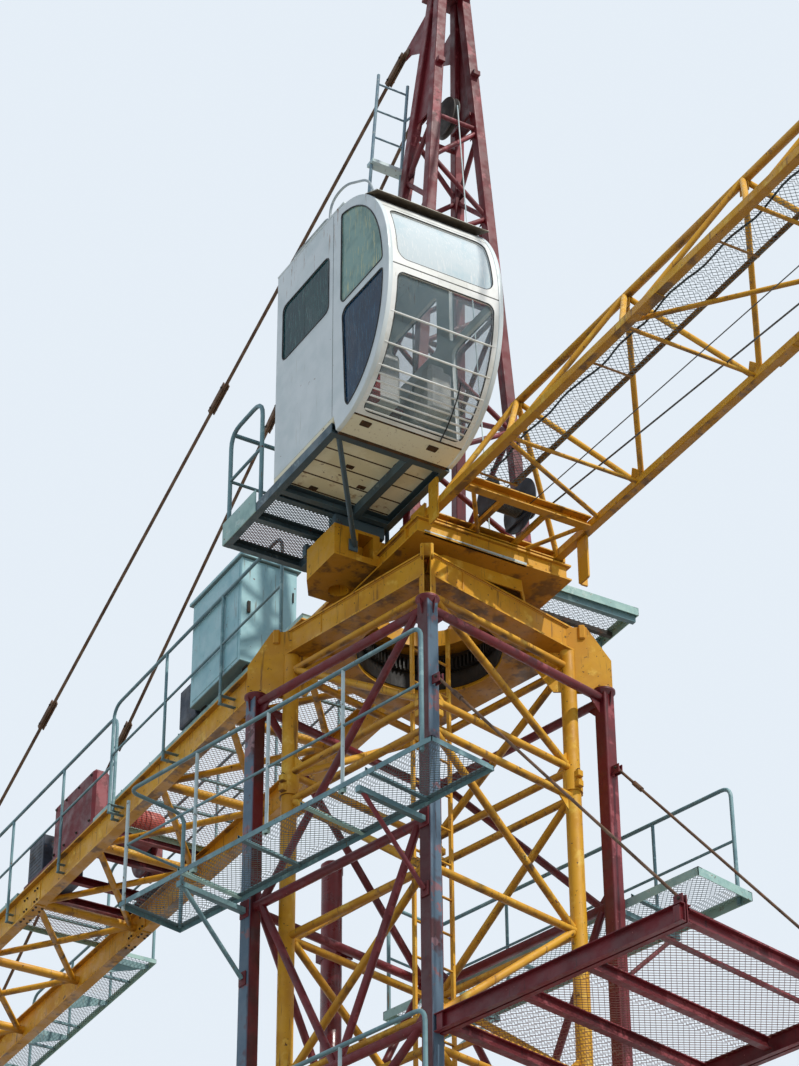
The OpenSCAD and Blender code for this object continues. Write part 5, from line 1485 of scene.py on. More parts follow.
def pane_frame(low_angle, high_angle, border, radius, made):
    """A frame bent to the round front, with round inner corners, and the black seal along its opening."""
    width = face_k1 - face_k0
    height = (high_angle - low_angle)*math.radians(1)*nose_h*0.92
    half = (width/2, height/2)
    inner_loop, outer_loop = [], []
    for (sx, sy), first in zip(((1, 1), (-1, 1), (-1, -1), (1, -1)), range(4)):
        middle = (sx*(half[0] - border - radius), sy*(half[1] - border - radius))
        for step in range(7):
            a = math.pi/2*(first + step/6)
            inner_loop.append((middle[0] + radius*math.cos(a), middle[1] + radius*math.sin(a)))
            x, y = sx*half[0], sy*half[1]
            if abs(math.cos(a)) < abs(math.sin(a)) - 0.01:
                x = inner_loop[-1][0]
            elif abs(math.cos(a)) > abs(math.sin(a)) + 0.01:
                y = inner_loop[-1][1]
            outer_loop.append((x, y))
        x0, y0 = inner_loop[-1]
        nx, ny = ((-1, 1), (-1, -1), (1, -1), (1, 1))[first]
        end = (nx*(half[0] - border - (radius if first % 2 == 0 else 0)),
               ny*(half[1] - border - (0 if first % 2 == 0 else radius)))
        for step in range(1, 12):
            x, y = x0 + (end[0] - x0)*step/12, y0 + (end[1] - y0)*step/12
            inner_loop.append((x, y))
            outer_loop.append((x, sy*half[1]) if first % 2 == 0 else (nx*half[0], y))

    def on_front(x, y, depth):
        j, z = nose((low_angle + high_angle)/2 + y/height*(high_angle - low_angle), depth)
        return (j, (face_k0 + face_k1)/2 + x, z)

    n = len(inner_loop)
    points = [on_front(x, y, depth) for depth in (0.006, 0.03) for loop in (inner_loop, outer_loop) for x, y in loop]
    faces = []
    for i in range(n):
        o = (i + 1) % n
        faces += [(i, o, n + o, n + i), (2*n + i, 3*n + i, 3*n + o, 2*n + o), (i, 2*n + i, 2*n + o, o),
                  (n + i, n + o, 3*n + o, 3*n + i)]
    frame_mesh = plain_mesh("pane_frame", points, faces, made, smooth=True)
    shape = bmesh.new()
    shape.from_mesh(frame_mesh)
    bmesh.ops.recalc_face_normals(shape, faces=shape.faces)
    shape.to_mesh(frame_mesh)
    shape.free()
    frame_mesh.set_sharp_from_angle(angle=math.radians(40))
    seal = [on_front(x, y, 0.010) for x, y in inner_loop + inner_loop[:1]]
    return [frame_mesh, tubes([seal], 0.0055, cab_dark, 8)]


front_parts = [bent_sheet(38.3, 90, 0.004, 0.046, face_k0, face_k1, white_paint, 20),
               bent_sheet(-90, -74.3, 0.008, 0.03, face_k0, face_k1, cab_paint, 8)]
front_parts += pane_frame(0.4, 38, 0.045, 0.09, white_paint)
front_parts += pane_frame(-74, 0, 0.045, 0.06, white_paint)
front_parts.append(bent_sheet(-0.05, 0.45, 0.007, 0.02, face_k0, face_k1, cab_dark, 2))
front_parts.append(bent_sheet(-75.0, -74.2, 0.005, 0.02, face_k0, face_k1, joint_brown, 2))
front_parts.append(bent_sheet(-90, -88.4, 0.005, 0.02, face_k0, face_k1, joint_brown, 2))
for degrees, k in ((-79, face_k0 + 0.14), (-80, face_k1 - 0.22)):
    j, z = nose(degrees, 0.008)
    front_parts.append(block((j - 0.03, k - 0.045, z - 0.006), (j + 0.03, k + 0.045, z + 0.012), joint_brown, 0.004))
lip = (cab_j1 + nose_reach - 0.182, nose_z + 0.872)
outline = [nose(57.2, -0.001), (lip[0] - 0.006, lip[1] - 0.009), (lip[0] + 0.003, lip[1] - 0.007), lip,
           nose(58, -0.001)]
front_parts.append(plate(outline, cab_width, standing(k_in), visor_paint))
rods = []
for degrees in (-70.5, -66.5, -62.5, -58.5, -54.5, -50.5, -46.5, -35.5, -21):
    j, z = nose(degrees, 0.012)
    rods.append([(j, face_k0 + 0.01, z), (j, face_k1 - 0.01, z)])
front_parts.append(tubes(rods, 0.0085, white_paint, 10))
wiper = [(degrees, face_k0 + 0.73 + 0.04*i/4) for i, degrees in enumerate((-42, -50, -58, -66, -74))]
front_parts.append(tubes([[(nose(degrees, -0.004)[0], k, nose(degrees, -0.004)[1]) for degrees, k in wiper]],
                         0.006, cab_dark, 8))
front_parts.append(block((cab_j1 + 0.0003, face_k0, cab_base), (cab_j1 + 0.06, face_k1, cab_base + 0.05),
                         cab_paint))
upper_piece("cab_front_frame", front_parts, "cab_paint", "cab_front")

# Floor of the cab: a ribbed sheet steel pan with a folded edge, seen from below.
# Brown joints between its sheets, five bolted fittings and a rubber mat inside.
floor_paint = finish("cab_floor_paint", tone(0.95, 0.92, 0.80), lambda tree: [
    (mask(tree, 2.4, 0.44, 0.60), tone(0.89, 0.85, 0.71)),
    (mask(tree, 6, 0.60, 0.70), tone(0.68, 0.56, 0.40)),
    (mask(tree, 15, 0.66, 0.72), tone(0.42, 0.28, 0.18)),
], rough=0.6)
floor_parts = [block((cab_j0, k_out, cab_base), (cab_j1, k_in, cab_base + 0.05), floor_paint, 0.006)]
for i in range(5):
    j = cab_j0 + 0.08 + i*0.19
    floor_parts.append(block((j, k_out + 0.01, cab_base - 0.0002), (j + 0.018, k_in - 0.01, cab_base + 0.004),
                             joint_brown, 0.0005))
floor_parts.append(block((cab_j0 + wall + 0.02, k_out + wall + 0.02, cab_base + 0.05),
                         (cab_j1 - 0.02, k_in - wall - 0.02, cab_base + 0.058), rubber, 0.002))
fittings = [(cab_j0 + 0.12 + 0.2*i, k_out + 0.3 + 0.11*((i*3) % 5)) for i in range(5)]
for j, k in fittings:
    floor_parts.append(block((j - 0.022, k - 0.035, cab_base - 0.006), (j + 0.022, k + 0.035, cab_base + 0.002),
                             joint_brown, 0.003))
floor_parts.append(bolts([((j, k, cab_base - 0.006), DOWN) for j, k in fittings], 0.012, joint_brown))
upper_piece("cab_floor_pan", floor_parts, "cab_paint", "cab_floor")

# Roof of the cab: a shallow pan with a folded edge and low handrails bent from round bar, one of which
# follows the round front. It overhangs the shell a little on each side; the rails are galvanised.
galvanised = finish("galvanised", tone(0.62, 0.65, 0.66), lambda tree: [
    (mask(tree, 6, 0.4, 0.6), tone(0.54, 0.58, 0.60)),
    (mask(tree, 30, 0.5, 0.7), tone(0.70, 0.72, 0.72)),
    (mask(tree, 11, 0.64, 0.74), tone(0.45, 0.33, 0.22)),
], rough=0.5, metal=0.35)
roof_z = nose_z + nose_h + 0.0003
roof_parts = [block((cab_j0 - 0.004, k_out - 0.004, roof_z), (cab_j1 + 0.15, k_in + 0.004, roof_z + 0.02),
                    side_paint, 0.006),
              block((cab_j0 + 0.03, k_out + 0.03, roof_z + 0.028), (cab_j1 + 0.11, k_in - 0.03, roof_z + 0.055),
                    cab_paint, 0.015)]
for k in (k_out + 0.12, k_in - 0.12):
    roof_parts.append(tubes([bent([(cab_j0 + 0.06, k, roof_z + 0.03), (cab_j0 + 0.06, k, roof_z + 0.246),
                                   (cab_j0 + 0.66, k, roof_z + 0.246), (cab_j0 + 0.66, k, roof_z + 0.03)], 0.06)],
                            0.011, galvanised, 12))
front_j, front_z = nose(60)
roof_parts.append(tubes([bent([(1.03, k_out + 0.12, roof_z + 0.02), (1.06, k_out + 0.12, roof_z + 0.38),
                               (1.30, k_out + 0.12, roof_z + 0.40), (1.70, k_out + 0.12, roof_z + 0.16),
                               (front_j, k_out + 0.12, front_z)], 0.12)], 0.011, galvanised, 12))
upper_piece("cab_roof_pan", roof_parts, "cab_paint", "cab_roof")

# Seat of the driver: a padded cushion and back on a pedestal, with a control box on each side.
# Woven cloth over foam with piped edges; the boxes are grey plastic with a black lever.
seat_cloth = finish("seat_cloth", tone(0.60, 0.10, 0.10), lambda tree: [
    (mask(tree, 120, 0.45, 0.6, (1, 1, 1), 1), tone(0.48, 0.07, 0.08)),
    (mask(tree, 3, 0.5, 0.7), tone(0.52, 0.12, 0.11)),
], rough=0.85, grain=160, bump=0.4)
plastic = finish("console_plastic", tone(0.82, 0.82, 0.80), lambda tree: [
    (mask(tree, 6, 0.5, 0.65), tone(0.74, 0.74, 0.71)),
], rough=0.5)


def cushion(name, low_corner, high_corner, crown, axis):
    """A crowned pad: a rounded block whose two broad faces swell and whose sides pull in between corners."""
    shape = bmesh.new()
    bmesh.ops.create_cube(shape, size=2)
    bmesh.ops.subdivide_edges(shape, edges=shape.edges[:], cuts=11, use_grid_fill=True)
    middle = (Vector(low_corner) + Vector(high_corner))/2
    half = (Vector(high_corner) - Vector(low_corner))/2
    others = [i for i in range(3) if i != axis]
    for vertex in shape.verts:
        p = vertex.co.copy()
        u, v = p[others[0]], p[others[1]]
        swell = (1 - u**4)*(1 - v**4)
        channel = 0.12*math.exp(-((abs(u) - 0.5)/0.06)**2)*(1 if abs(p[axis]) > 0.9 else 0)
        thick = half[axis] - crown*(1 - swell) - crown*channel
        round_off = 1 - 0.10*abs(p[axis])**6
        vertex.co[axis] = p[axis]*thick
        for i, other in ((others[0], v), (others[1], u)):
            pull = 1 - 0.03*(1 - other*other)
            vertex.co[i] = p[i]*half[i]*pull*round_off
        vertex.co += middle
    mesh = bpy.data.meshes.new(name)
    shape.to_mesh(mesh)
    shape.free()
    mesh.materials.append(seat_cloth)
    mesh.polygons.foreach_set("use_smooth", [True]*len(mesh.polygons))
    mesh.transform(heading)
    pad = bpy.data.objects.new(name, mesh)
    scene.collection.objects.link(pad)
    smooth = pad.modifiers.new("smooth", "SUBSURF")
    smooth.levels = 1
    smooth.render_levels = 1
    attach(pad, "upper")
    return pad


seat_k = k_out + cab_width/2
seat_z = cab_base + 0.0583
cushion("seat_cushion", (cab_j0 + 0.35, seat_k - 0.23, seat_z + 0.38),
        (cab_j0 + 0.80, seat_k + 0.23, seat_z + 0.48), 0.02, 2)
cushion("seat_back", (cab_j0 + 0.30, seat_k - 0.22, seat_z + 0.47), (cab_j0 + 0.40, seat_k + 0.22, seat_z + 1.05),
        0.02, 0)
post_at = Matrix.Translation((cab_j0 + 0.57, seat_k, 0))
seat_parts = [spun([(0.10, seat_z), (0.10, seat_z + 0.02), (0.05, seat_z + 0.05), (0.05, seat_z + 0.33),
                    (0.12, seat_z + 0.36), (0.12, seat_z + 0.385)], 32, post_at, dark_steel),
              block((cab_j0 + 0.31, seat_k - 0.05, seat_z + 0.34), (cab_j0 + 0.36, seat_k + 0.05, seat_z + 0.60),
                    dark_steel)]
for side in (-1, 1):
    middle = seat_k + side*0.33
    seat_parts.append(block((cab_j0 + 0.40, middle - 0.07, seat_z + 0.30),
                            (cab_j0 + 0.86, middle + 0.07, seat_z + 0.62), plastic, 0.02))
    seat_parts.append(tubes([[(cab_j0 + 0.76, middle, seat_z + 0.6), (cab_j0 + 0.78, middle, seat_z + 0.74)]],
                            0.012, rubber, 10))
    seat_parts.append(block((cab_j0 + 0.40, middle - 0.03, seat_z), (cab_j0 + 0.48, middle + 0.03, seat_z + 0.3),
                            dark_steel))
for k, j, low_z, high_z in ((k_out + 0.30, cab_j1 + 0.10, 0.02, 0.52), (k_out + 0.74, cab_j1 + 0.16, 0.05, 0.46)):
    seat_parts.append(block((j, k - 0.11, seat_z + low_z), (j + 0.26, k + 0.11, seat_z + high_z), plastic, 0.03))
    seat_parts.append(block((j + 0.06, k - 0.07, seat_z + high_z), (j + 0.20, k + 0.07, seat_z + high_z + 0.09),
                            plastic, 0.02))
seat_parts.append(spun([(0.06, seat_z), (0.06, seat_z + 0.30), (0.045, seat_z + 0.34), (0.02, seat_z + 0.36),
                        (0.02, seat_z + 0.40)], 24, Matrix.Translation((cab_j1 + 0.34, k_out + 0.16, 0)), seat_cloth))
upper_piece("seat_stand", seat_parts, "dark_steel", "cab_seat")

# Jib: two box chords below and one tube on top, with zigzag lacing on the two slanted sides.
# Welded in one length, with gussets at the lower nodes and plates where the lacing meets.
jib_width = 1.22
jib_height = 1.072
bay = 1.58
bays = 9
box_side = 0.074
jib_z = table_top + 0.016 + box_side/2
jib_root = 0.97
jib_first = 2.236
jib_end = jib_first + bay*bays
top_first = jib_first - bay/2
half_jib = jib_width/2

jib_parts = []
for side in (-1, 1):
    jib_parts.append(rolled(square_tube(box_side, corner=0.007), (jib_root, side*half_jib, jib_z),
                            (jib_end, side*half_jib, jib_z), (0, 1, 0), yellow_paint))
jib_parts.append(rolled(pipe(0.035), (top_first - 0.06, 0, jib_z + jib_height),
                        (top_first + bay*bays + 0.06, 0, jib_z + jib_height), (0, 1, 0), yellow_paint, True))
side_runs, thin_runs, cross_runs = [], [], []
for side in (-1, 1):
    peak = jib_z + jib_height - 0.012
    for i in range(bays + 1):
        top_j = top_first + bay*i
        near_j = jib_root + 0.06 if i == 0 else jib_first + bay*(i - 1) + 0.022
        side_runs.append([(top_j - 0.014, side*0.018, peak), (near_j, side*half_jib, jib_z)])
        if i < bays:
            side_runs.append([(top_j + 0.014, side*0.018, peak), (jib_first + bay*i - 0.022, side*half_jib, jib_z)])
        low_j = jib_first + bay*i
        if i < bays:
            slope = Vector((0, -side*half_jib, jib_height)).normalized()
            at = Vector((low_j, side*half_jib, jib_z)) + slope*box_side*0.5
            for way in (-1, 1):
                jib_parts.append(gusset(at, (way, 0, 0), slope, 0.10, 0.008, yellow_paint))
for i in range(bays + 1):
    top_j = top_first + bay*i
    jib_parts.append(block((top_j - 0.055, -0.005, jib_z + jib_height - 0.12), (top_j + 0.055, 0.005,
                            jib_z + jib_height - 0.02), yellow_paint, 0.002))
for i in range(bays):
    j = jib_first + bay*i
    cross_runs.append([(j, -half_jib, jib_z), (j, half_jib, jib_z)])
    if i % 2 == 1:
        thin_runs.append([(j + 0.06, -half_jib, jib_z), (j + bay - 0.02, half_jib, jib_z)])
thin_runs.append([(jib_first - 0.03, -half_jib, jib_z), (1.66, half_jib, jib_z)])
jib_parts += [tubes(side_runs, 0.024, yellow_paint, 16), tubes(cross_runs, 0.017, yellow_paint, 12),
              tubes(thin_runs, 0.020, yellow_paint, 12),
              tubes([[(jib_end - 0.06, -half_jib, jib_z), (jib_end - 0.06, half_jib, jib_z)]], 0.030, yellow_paint)]
for i in range(1, bays, 2):
    j = jib_first + bay*i + 0.35
    for side in (-1, 1):
        y = side*half_jib
        jib_parts.append(block((j - 0.13, y - 0.045, jib_z - 0.045), (j + 0.13, y + 0.045, jib_z - 0.036), yellow_paint))
upper_piece("jib_frame", jib_parts, "yellow_paint", "jib_chords", "jib_side_left", "jib_side_right", "jib_bottom")

# Root of the jib: an end beam and a heavy channel between the chords, tied by braces that carry the winch.
# Stop plates hang from the chords where the jib is pinned to the turntable.
inner = half_jib - box_side/2
half_box = box_side/2
root_parts = [rolled(channel_iron(box_side, 0.08, 0.010), (jib_root, -inner, jib_z), (jib_root, inner, jib_z),
                     (1, 0, 0), yellow_paint),
              rolled(channel_iron(0.10, 0.08, 0.011), (1.52, -inner, jib_z), (1.52, inner, jib_z), (1, 0, 0),
                     yellow_paint)]
for k in (-0.2, 0.2):
    root_parts.append(rolled(square_tube(0.044, 0.040, 0.005), (jib_root + 0.008, k, jib_z), (1.526, k, jib_z),
                             (0, 1, 0), yellow_paint))
root_parts.append(tubes([[(jib_root + 0.04, -0.14, jib_z - 0.026), (1.55, -inner + 0.06, jib_z - 0.026)],
                         [(jib_root + 0.04, 0.29, jib_z - 0.026), (1.55, inner - 0.03, jib_z - 0.026)]], 0.018,
                        yellow_paint, 14))
near_face = -half_jib - half_box - 0.0003
stop = softened([(1.11, jib_z - 0.17), (1.25, jib_z - 0.17), (1.25, jib_z + 0.23), (1.11, jib_z + 0.23)], 0.03)
root_parts.append(plate(stop, 0.012, standing(near_face), yellow_paint))
far_plate = softened([(1.33, jib_z - 0.447), (1.47, jib_z - 0.447), (1.47, jib_z - half_box),
                      (1.33, jib_z - half_box)], 0.02)
root_parts.append(plate(far_plate, 0.016, standing(half_jib + 0.008), yellow_paint))
root_parts.append(block((1.33, half_jib + 0.008, jib_z - 0.447), (1.35, half_jib + 0.07, jib_z - half_box),
                        yellow_paint))
root_parts.append(spun([(0.045, 0), (0.045, 0.012), (0.03, 0.016)], 28,
                       pointing((jib_root + 0.10, -half_jib, jib_z - half_box), DOWN), yellow_paint))
upper_piece("jib_root_frame", root_parts, "yellow_paint", "jib_root")

# Tip of the jib: an end beam between two plates, with the sheave that turns the trolley rope.
# Cast sheave on a round pin.
tip_parts = [rolled(square_tube(0.06, box_side, 0.006), (jib_end + 0.03, -half_jib - half_box, jib_z),
                    (jib_end + 0.03, half_jib + half_box, jib_z), (1, 0, 0), yellow_paint),
             sheave_at(Vector((jib_end + 0.15, 0, jib_z)), (0, 1, 0), 0.1095, 0.06),
             rolled(pipe(0.02), (jib_end + 0.15, -0.065, jib_z), (jib_end + 0.15, 0.065, jib_z), (1, 0, 0),
                    dark_steel, True)]
for k in (-0.06, 0.04):
    tip_parts.append(plate(softened([(jib_end + 0.06, jib_z - 0.08), (jib_end + 0.20, jib_z - 0.06),
                                     (jib_end + 0.20, jib_z + 0.06), (jib_end + 0.06, jib_z + 0.08)], 0.03), 0.02,
                           standing(k + 0.02), yellow_paint))
upper_piece("jib_tip_frame", tip_parts, "yellow_paint", "jib_tip")

# Walkway of the jib: a strip of expanded metal inside the left chord, on short cross angles.
# Its free edge is stiffened by a brown angle.
walk_k0, walk_k1 = -inner + 0.01, -inner + 0.39
walk_j0, walk_j1 = 1.64, jib_end - 0.12
walk_z = jib_z + 0.030
brown_paint = finish("brown_paint", tone(0.50, 0.34, 0.15), lambda tree: [
    (mask(tree, 4, 0.45, 0.62), tone(0.60, 0.43, 0.16)),
    (mask(tree, 12, 0.6, 0.7), tone(0.30, 0.18, 0.11)),
], rough=0.6)
edge_angle = [(0, 0), (-0.03, 0), (-0.03, -0.005), (-0.005, -0.005), (-0.005, -0.03), (0, -0.03)]
walk_parts = [rolled(edge_angle, (walk_j0, walk_k1, walk_z + 0.03), (walk_j1, walk_k1, walk_z + 0.03), (0, 1, 0),
                     brown_paint)]
for i in range(10):
    j = walk_j0 + 0.05 + i*(walk_j1 - walk_j0 - 0.1)/9
    walk_parts.append(rolled(flat_bar(0.022, 0.005), (j, walk_k0 - 0.008, walk_z - 0.007),
                             (j, walk_k1 - 0.004, walk_z - 0.007), (1, 0, 0), brown_paint))
upper_piece("walkway_edges", walk_parts, "grey_green_paint", "jib_walkway")
upper_piece("walkway_mesh", [mesh_panel(walk_j0, walk_j1, walk_k0, walk_k1 - 0.006, walk_z - 0.002, mesh_steel, 0.052,
                                        0.024, 0.0030, True)], "grey_green_paint")

# Ropes of the jib: the black control cable laid along the walkway in waves, the pale cable that comes down
# from the tower head, and the steel ropes of the trolley and the hoist drawn straight through the frame.
rope_steel = finish("wire_rope", tone(0.26, 0.25, 0.24), lambda tree: [
    (mask(tree, 60, 0.45, 0.6, (4, 1, 1)), tone(0.40, 0.39, 0.37)),
], rough=0.5, metal=0.5)
rng = random.Random(7)
cable = []
for i in range(150):
    t = i/149
    cable.append((walk_j0 + 0.1 + t*(walk_j1 - walk_j0 - 0.2), walk_k0 + 0.09 + 0.014*math.sin(i*0.9)
                  + 0.01*math.sin(i*0.37 + 1.3) + rng.uniform(-0.004, 0.004), walk_z + 0.012))
hoist_line = [[(1.34, 0.25, jib_z + 0.12), (jib_first + bay*5.5 - 0.6, 0.50, jib_z - 0.25)]]
trolley_lines = [[(1.29, -0.06, jib_z + 0.27), (jib_end + 0.15, -0.02, jib_z + 0.105)],
                 [(1.29, 0.03, jib_z + 0.03), (jib_first + bay*5.5 - 0.5, 0.03, jib_z - 0.25)]]
head_cable = [[(0.62, 0, 20.76), (0.735, 0, 19.257), (0.975, 0, jib_z + 0.03)]]
upper_piece("jib_ropes", [tubes([cable], 0.009, rubber, 6), tubes(trolley_lines, 0.005, rope_steel, 6),
                          tubes(hoist_line, 0.0075, rope_steel, 8), tubes(head_cable, 0.006, pale_paint, 6)],
            "dark_steel")

# Trolley winch on the root of the jib: a rope drum between two discs with a gear motor on its end.
# The rope lies in one layer of turns.
winch_dark = finish("winch_paint", tone(0.22, 0.25, 0.30), lambda tree: [
    (mask(tree, 5, 0.45, 0.62), tone(0.17, 0.18, 0.21)),
    (mask(tree, 14, 0.6, 0.7), tone(0.38, 0.26, 0.18)),
], rough=0.5, metal=0.2)
wj, wz = 1.285, jib_z + 0.0203


def rope_turns(middle, start, end, radius, rope):
    """A helix of rope on a drum whose axis runs across the jib."""
    turns = int((end - start)/(rope*2.1))
    return [(middle[0] + radius*math.cos(math.tau*i/16), start + (end - start)*i/(16*turns),
             middle[1] + radius*math.sin(math.tau*i/16)) for i in range(16*turns + 1)]


winch_parts = []
for k in (-0.21, 0.09):
    winch_parts.append(block((wj - 0.19, k - 0.02, wz), (wj + 0.19, k + 0.04, wz + 0.02), winch_dark))
    winch_parts.append(plate(softened([(wj - 0.10, wz + 0.02), (wj + 0.10, wz + 0.02), (wj + 0.05, wz + 0.15),
                                       (wj - 0.05, wz + 0.15)], 0.02), 0.02, standing(k + 0.02), winch_dark))
    rim_r = 0.24 if k > 0 else 0.17
    winch_parts.append(spun([(0.05, 0), (rim_r, 0), (rim_r, 0.006), (rim_r - 0.01, 0.016), (0.05, 0.022)], 40,
                            pointing((wj, k, wz + 0.15), (0, 1, 0)), winch_dark))
winch_parts.append(spun([(0.09, 0), (0.09, 0.28)], 32, pointing((wj, -0.19, wz + 0.15), (0, 1, 0)), winch_dark))
winch_parts.append(tubes([rope_turns((wj, wz + 0.15), -0.18, 0.085, 0.097, 0.006)], 0.006, rope_steel, 6))
motor = [(0.05, 0), (0.08, 0), (0.08, 0.02)]
for i in range(4):
    z = 0.022 + i*0.018
    motor += [(0.072, z), (0.072, z + 0.008), (0.08, z + 0.009), (0.08, z + 0.017)]
motor += [(0.07, 0.105), (0.05, 0.113)]
winch_parts.append(spun(motor, 32, pointing((wj, 0.112, wz + 0.15), (0, 1, 0)), winch_dark))
upper_piece("trolley_winch_drum", winch_parts, "dark_steel", "trolley_winch")

# Trolley: two side plates on flanged wheels under the bottom chords, with the sheaves of the hook rope.
# Parked part way out.
tj = jib_first + bay*5.5
tz = jib_z - half_box
fall = 0.3583
trolley_parts = []
for side in (-1, 1):
    k = side*half_jib
    for i in (-0.5, 0.5):
        wheel = [(0.02, -0.05), (0.06, -0.05), (0.07, -0.046), (0.07, 0.046), (0.06, 0.05), (0.02, 0.05)]
        trolley_parts.append(spun(wheel, 32, pointing((tj + i, k, tz - 0.0703), (0, 1, 0)), cast_steel))
    cheek = softened([(tj - 0.65, tz - 0.23), (tj + 0.65, tz - 0.23), (tj + 0.65, tz - 0.08), (tj + 0.55, tz - 0.02),
                      (tj - 0.55, tz - 0.02), (tj - 0.65, tz - 0.08)], 0.04)
    trolley_parts.append(plate(cheek, 0.012, standing(k + side*0.055 + 0.006), maroon_paint))
    trolley_parts.append(bolts([((tj + i, k + side*0.061, tz - 0.07), (0, side, 0)) for i in (-0.5, 0.5)],
                               0.022, dark_steel))
for i in (-0.6, 0, 0.6):
    trolley_parts.append(rolled(square_tube(0.08, corner=0.008), (tj + i, -half_jib - 0.06, tz - 0.22),
                                (tj + i, half_jib + 0.06, tz - 0.22), (1, 0, 0), maroon_paint))
for i in (-fall - 0.1583, fall + 0.1583):
    trolley_parts.append(sheave_at(Vector((tj + i, 0, tz - 0.32)), (0, 1, 0), 0.15, 0.06))
    trolley_parts.append(rolled(pipe(0.025), (tj + i, -0.06, tz - 0.32), (tj + i, 0.06, tz - 0.32), (1, 0, 0),
                                dark_steel, True))
for k in (-0.06, 0.045):
    bar = softened([(tj - 0.60, tz - 0.36), (tj + 0.60, tz - 0.36), (tj + 0.60, tz - 0.19),
                    (tj - 0.60, tz - 0.19)], 0.05)
    trolley_parts.append(plate(bar, 0.015, standing(k + 0.015), maroon_paint))
upper_piece("trolley_carriage", trolley_parts, "maroon_paint", "trolley")

# Hook block: two sheaves between cheek plates, with a forged hook on a swivel below.
# It hangs on two falls of steel rope from the trolley.
hz = jib_z - 2.9
hook_parts = []
for k in (-0.052, 0.04):
    cheek = softened([(tj - 0.33, hz - 0.02), (tj - 0.12, hz - 0.12), (tj + 0.12, hz - 0.12), (tj + 0.33, hz - 0.02),
                      (tj + 0.33, hz + 0.12), (tj + 0.25, hz + 0.20), (tj - 0.25, hz + 0.20),
                      (tj - 0.33, hz + 0.12)], 0.05)
    hook_parts.append(plate(cheek, 0.012, standing(k + 0.012), maroon_paint))
for i in (-0.2, 0.2):
    hook_parts.append(sheave_at(Vector((tj + i, 0, hz + 0.06)), (0, 1, 0), 0.15, 0.07))
    hook_parts.append(rolled(pipe(0.03), (tj + i, -0.058, hz + 0.06), (tj + i, 0.058, hz + 0.06), (1, 0, 0),
                             dark_steel, True))
hook_parts.append(block((tj - 0.09, -0.06, hz - 0.26), (tj + 0.09, 0.06, hz - 0.10), maroon_paint, 0.01))
arc = [(tj, 0, hz - 0.26), (tj, 0, hz - 0.42)]
arc += [(tj + 0.115*math.sin(a), 0, hz - 0.56 + 0.115*math.cos(a)) for a in
        [math.radians(20 + 15*i) for i in range(17)]]
hook_parts.append(tubes([bent(arc, 0.02)], 0.028, cast_steel, 14))
hook_parts.append(spun([(0.045, hz - 0.30), (0.05, hz - 0.29), (0.05, hz - 0.26)], 24,
                       Matrix.Translation((tj, 0, 0)), cast_steel))
falls = [[(tj + i, 0, hz + 0.06), (tj + i, 0, tz - 0.32)] for i in (-fall, fall)]
hook_parts.append(tubes(falls, 0.007, rope_steel, 8))
upper_piece("hook_block_body", hook_parts, "maroon_paint", "hook_block")

# Jib ties: two round bars from the cap of the tower head to the top chord, pinned at both ends.
# Bare steel gone brown.
tie_end_j = top_first + bay*6
cap_pin_z = leg_point(1, 1, 1).z + 0.25
chord_top = jib_z + jib_height + 0.0353
jib_tie_parts, tie_pins = [], []
for side in (-1, 1):
    y0, y1 = sorted((side*0.1223, side*0.144))
    link_plate = softened([(0.60, cap_pin_z - 0.05), (0.745, cap_pin_z - 0.06), (0.745, cap_pin_z + 0.04),
                           (0.60, cap_pin_z + 0.06)], 0.02)
    jib_tie_parts.append(plate(link_plate, y1 - y0, standing(y1), ties_steel))
    start, end = Vector((0.73, side*0.133, cap_pin_z - 0.005)), Vector((tie_end_j, side*0.02, chord_top + 0.07))
    jib_tie_parts.append(tubes([[start, end]], 0.019, ties_steel, 14))
    way = (end - start).normalized()
    for t in (0.3, 0.62):
        middle = start.lerp(end, t)
        jib_tie_parts.append(rolled(square_tube(0.062, 0.05, 0.006), middle - way*0.17, middle + way*0.17,
                                    (0, 1, 0), ties_steel))
    y0, y1 = sorted((side*0.01, side*0.03))
    lug = softened([(tie_end_j - 0.06, chord_top - 0.01), (tie_end_j + 0.06, chord_top - 0.01),
                    (tie_end_j + 0.05, chord_top + 0.11), (tie_end_j - 0.05, chord_top + 0.11)], 0.03)
    jib_tie_parts.append(plate(lug, y1 - y0, standing(y1), ties_steel))
    tie_pins.append(((tie_end_j, side*0.03, chord_top + 0.07), (0, side, 0)))
jib_tie_parts.append(bolts(tie_pins, 0.02, dark_steel))
upper_piece("jib_tie_bars", jib_tie_parts, "dark_steel", "jib_ties")

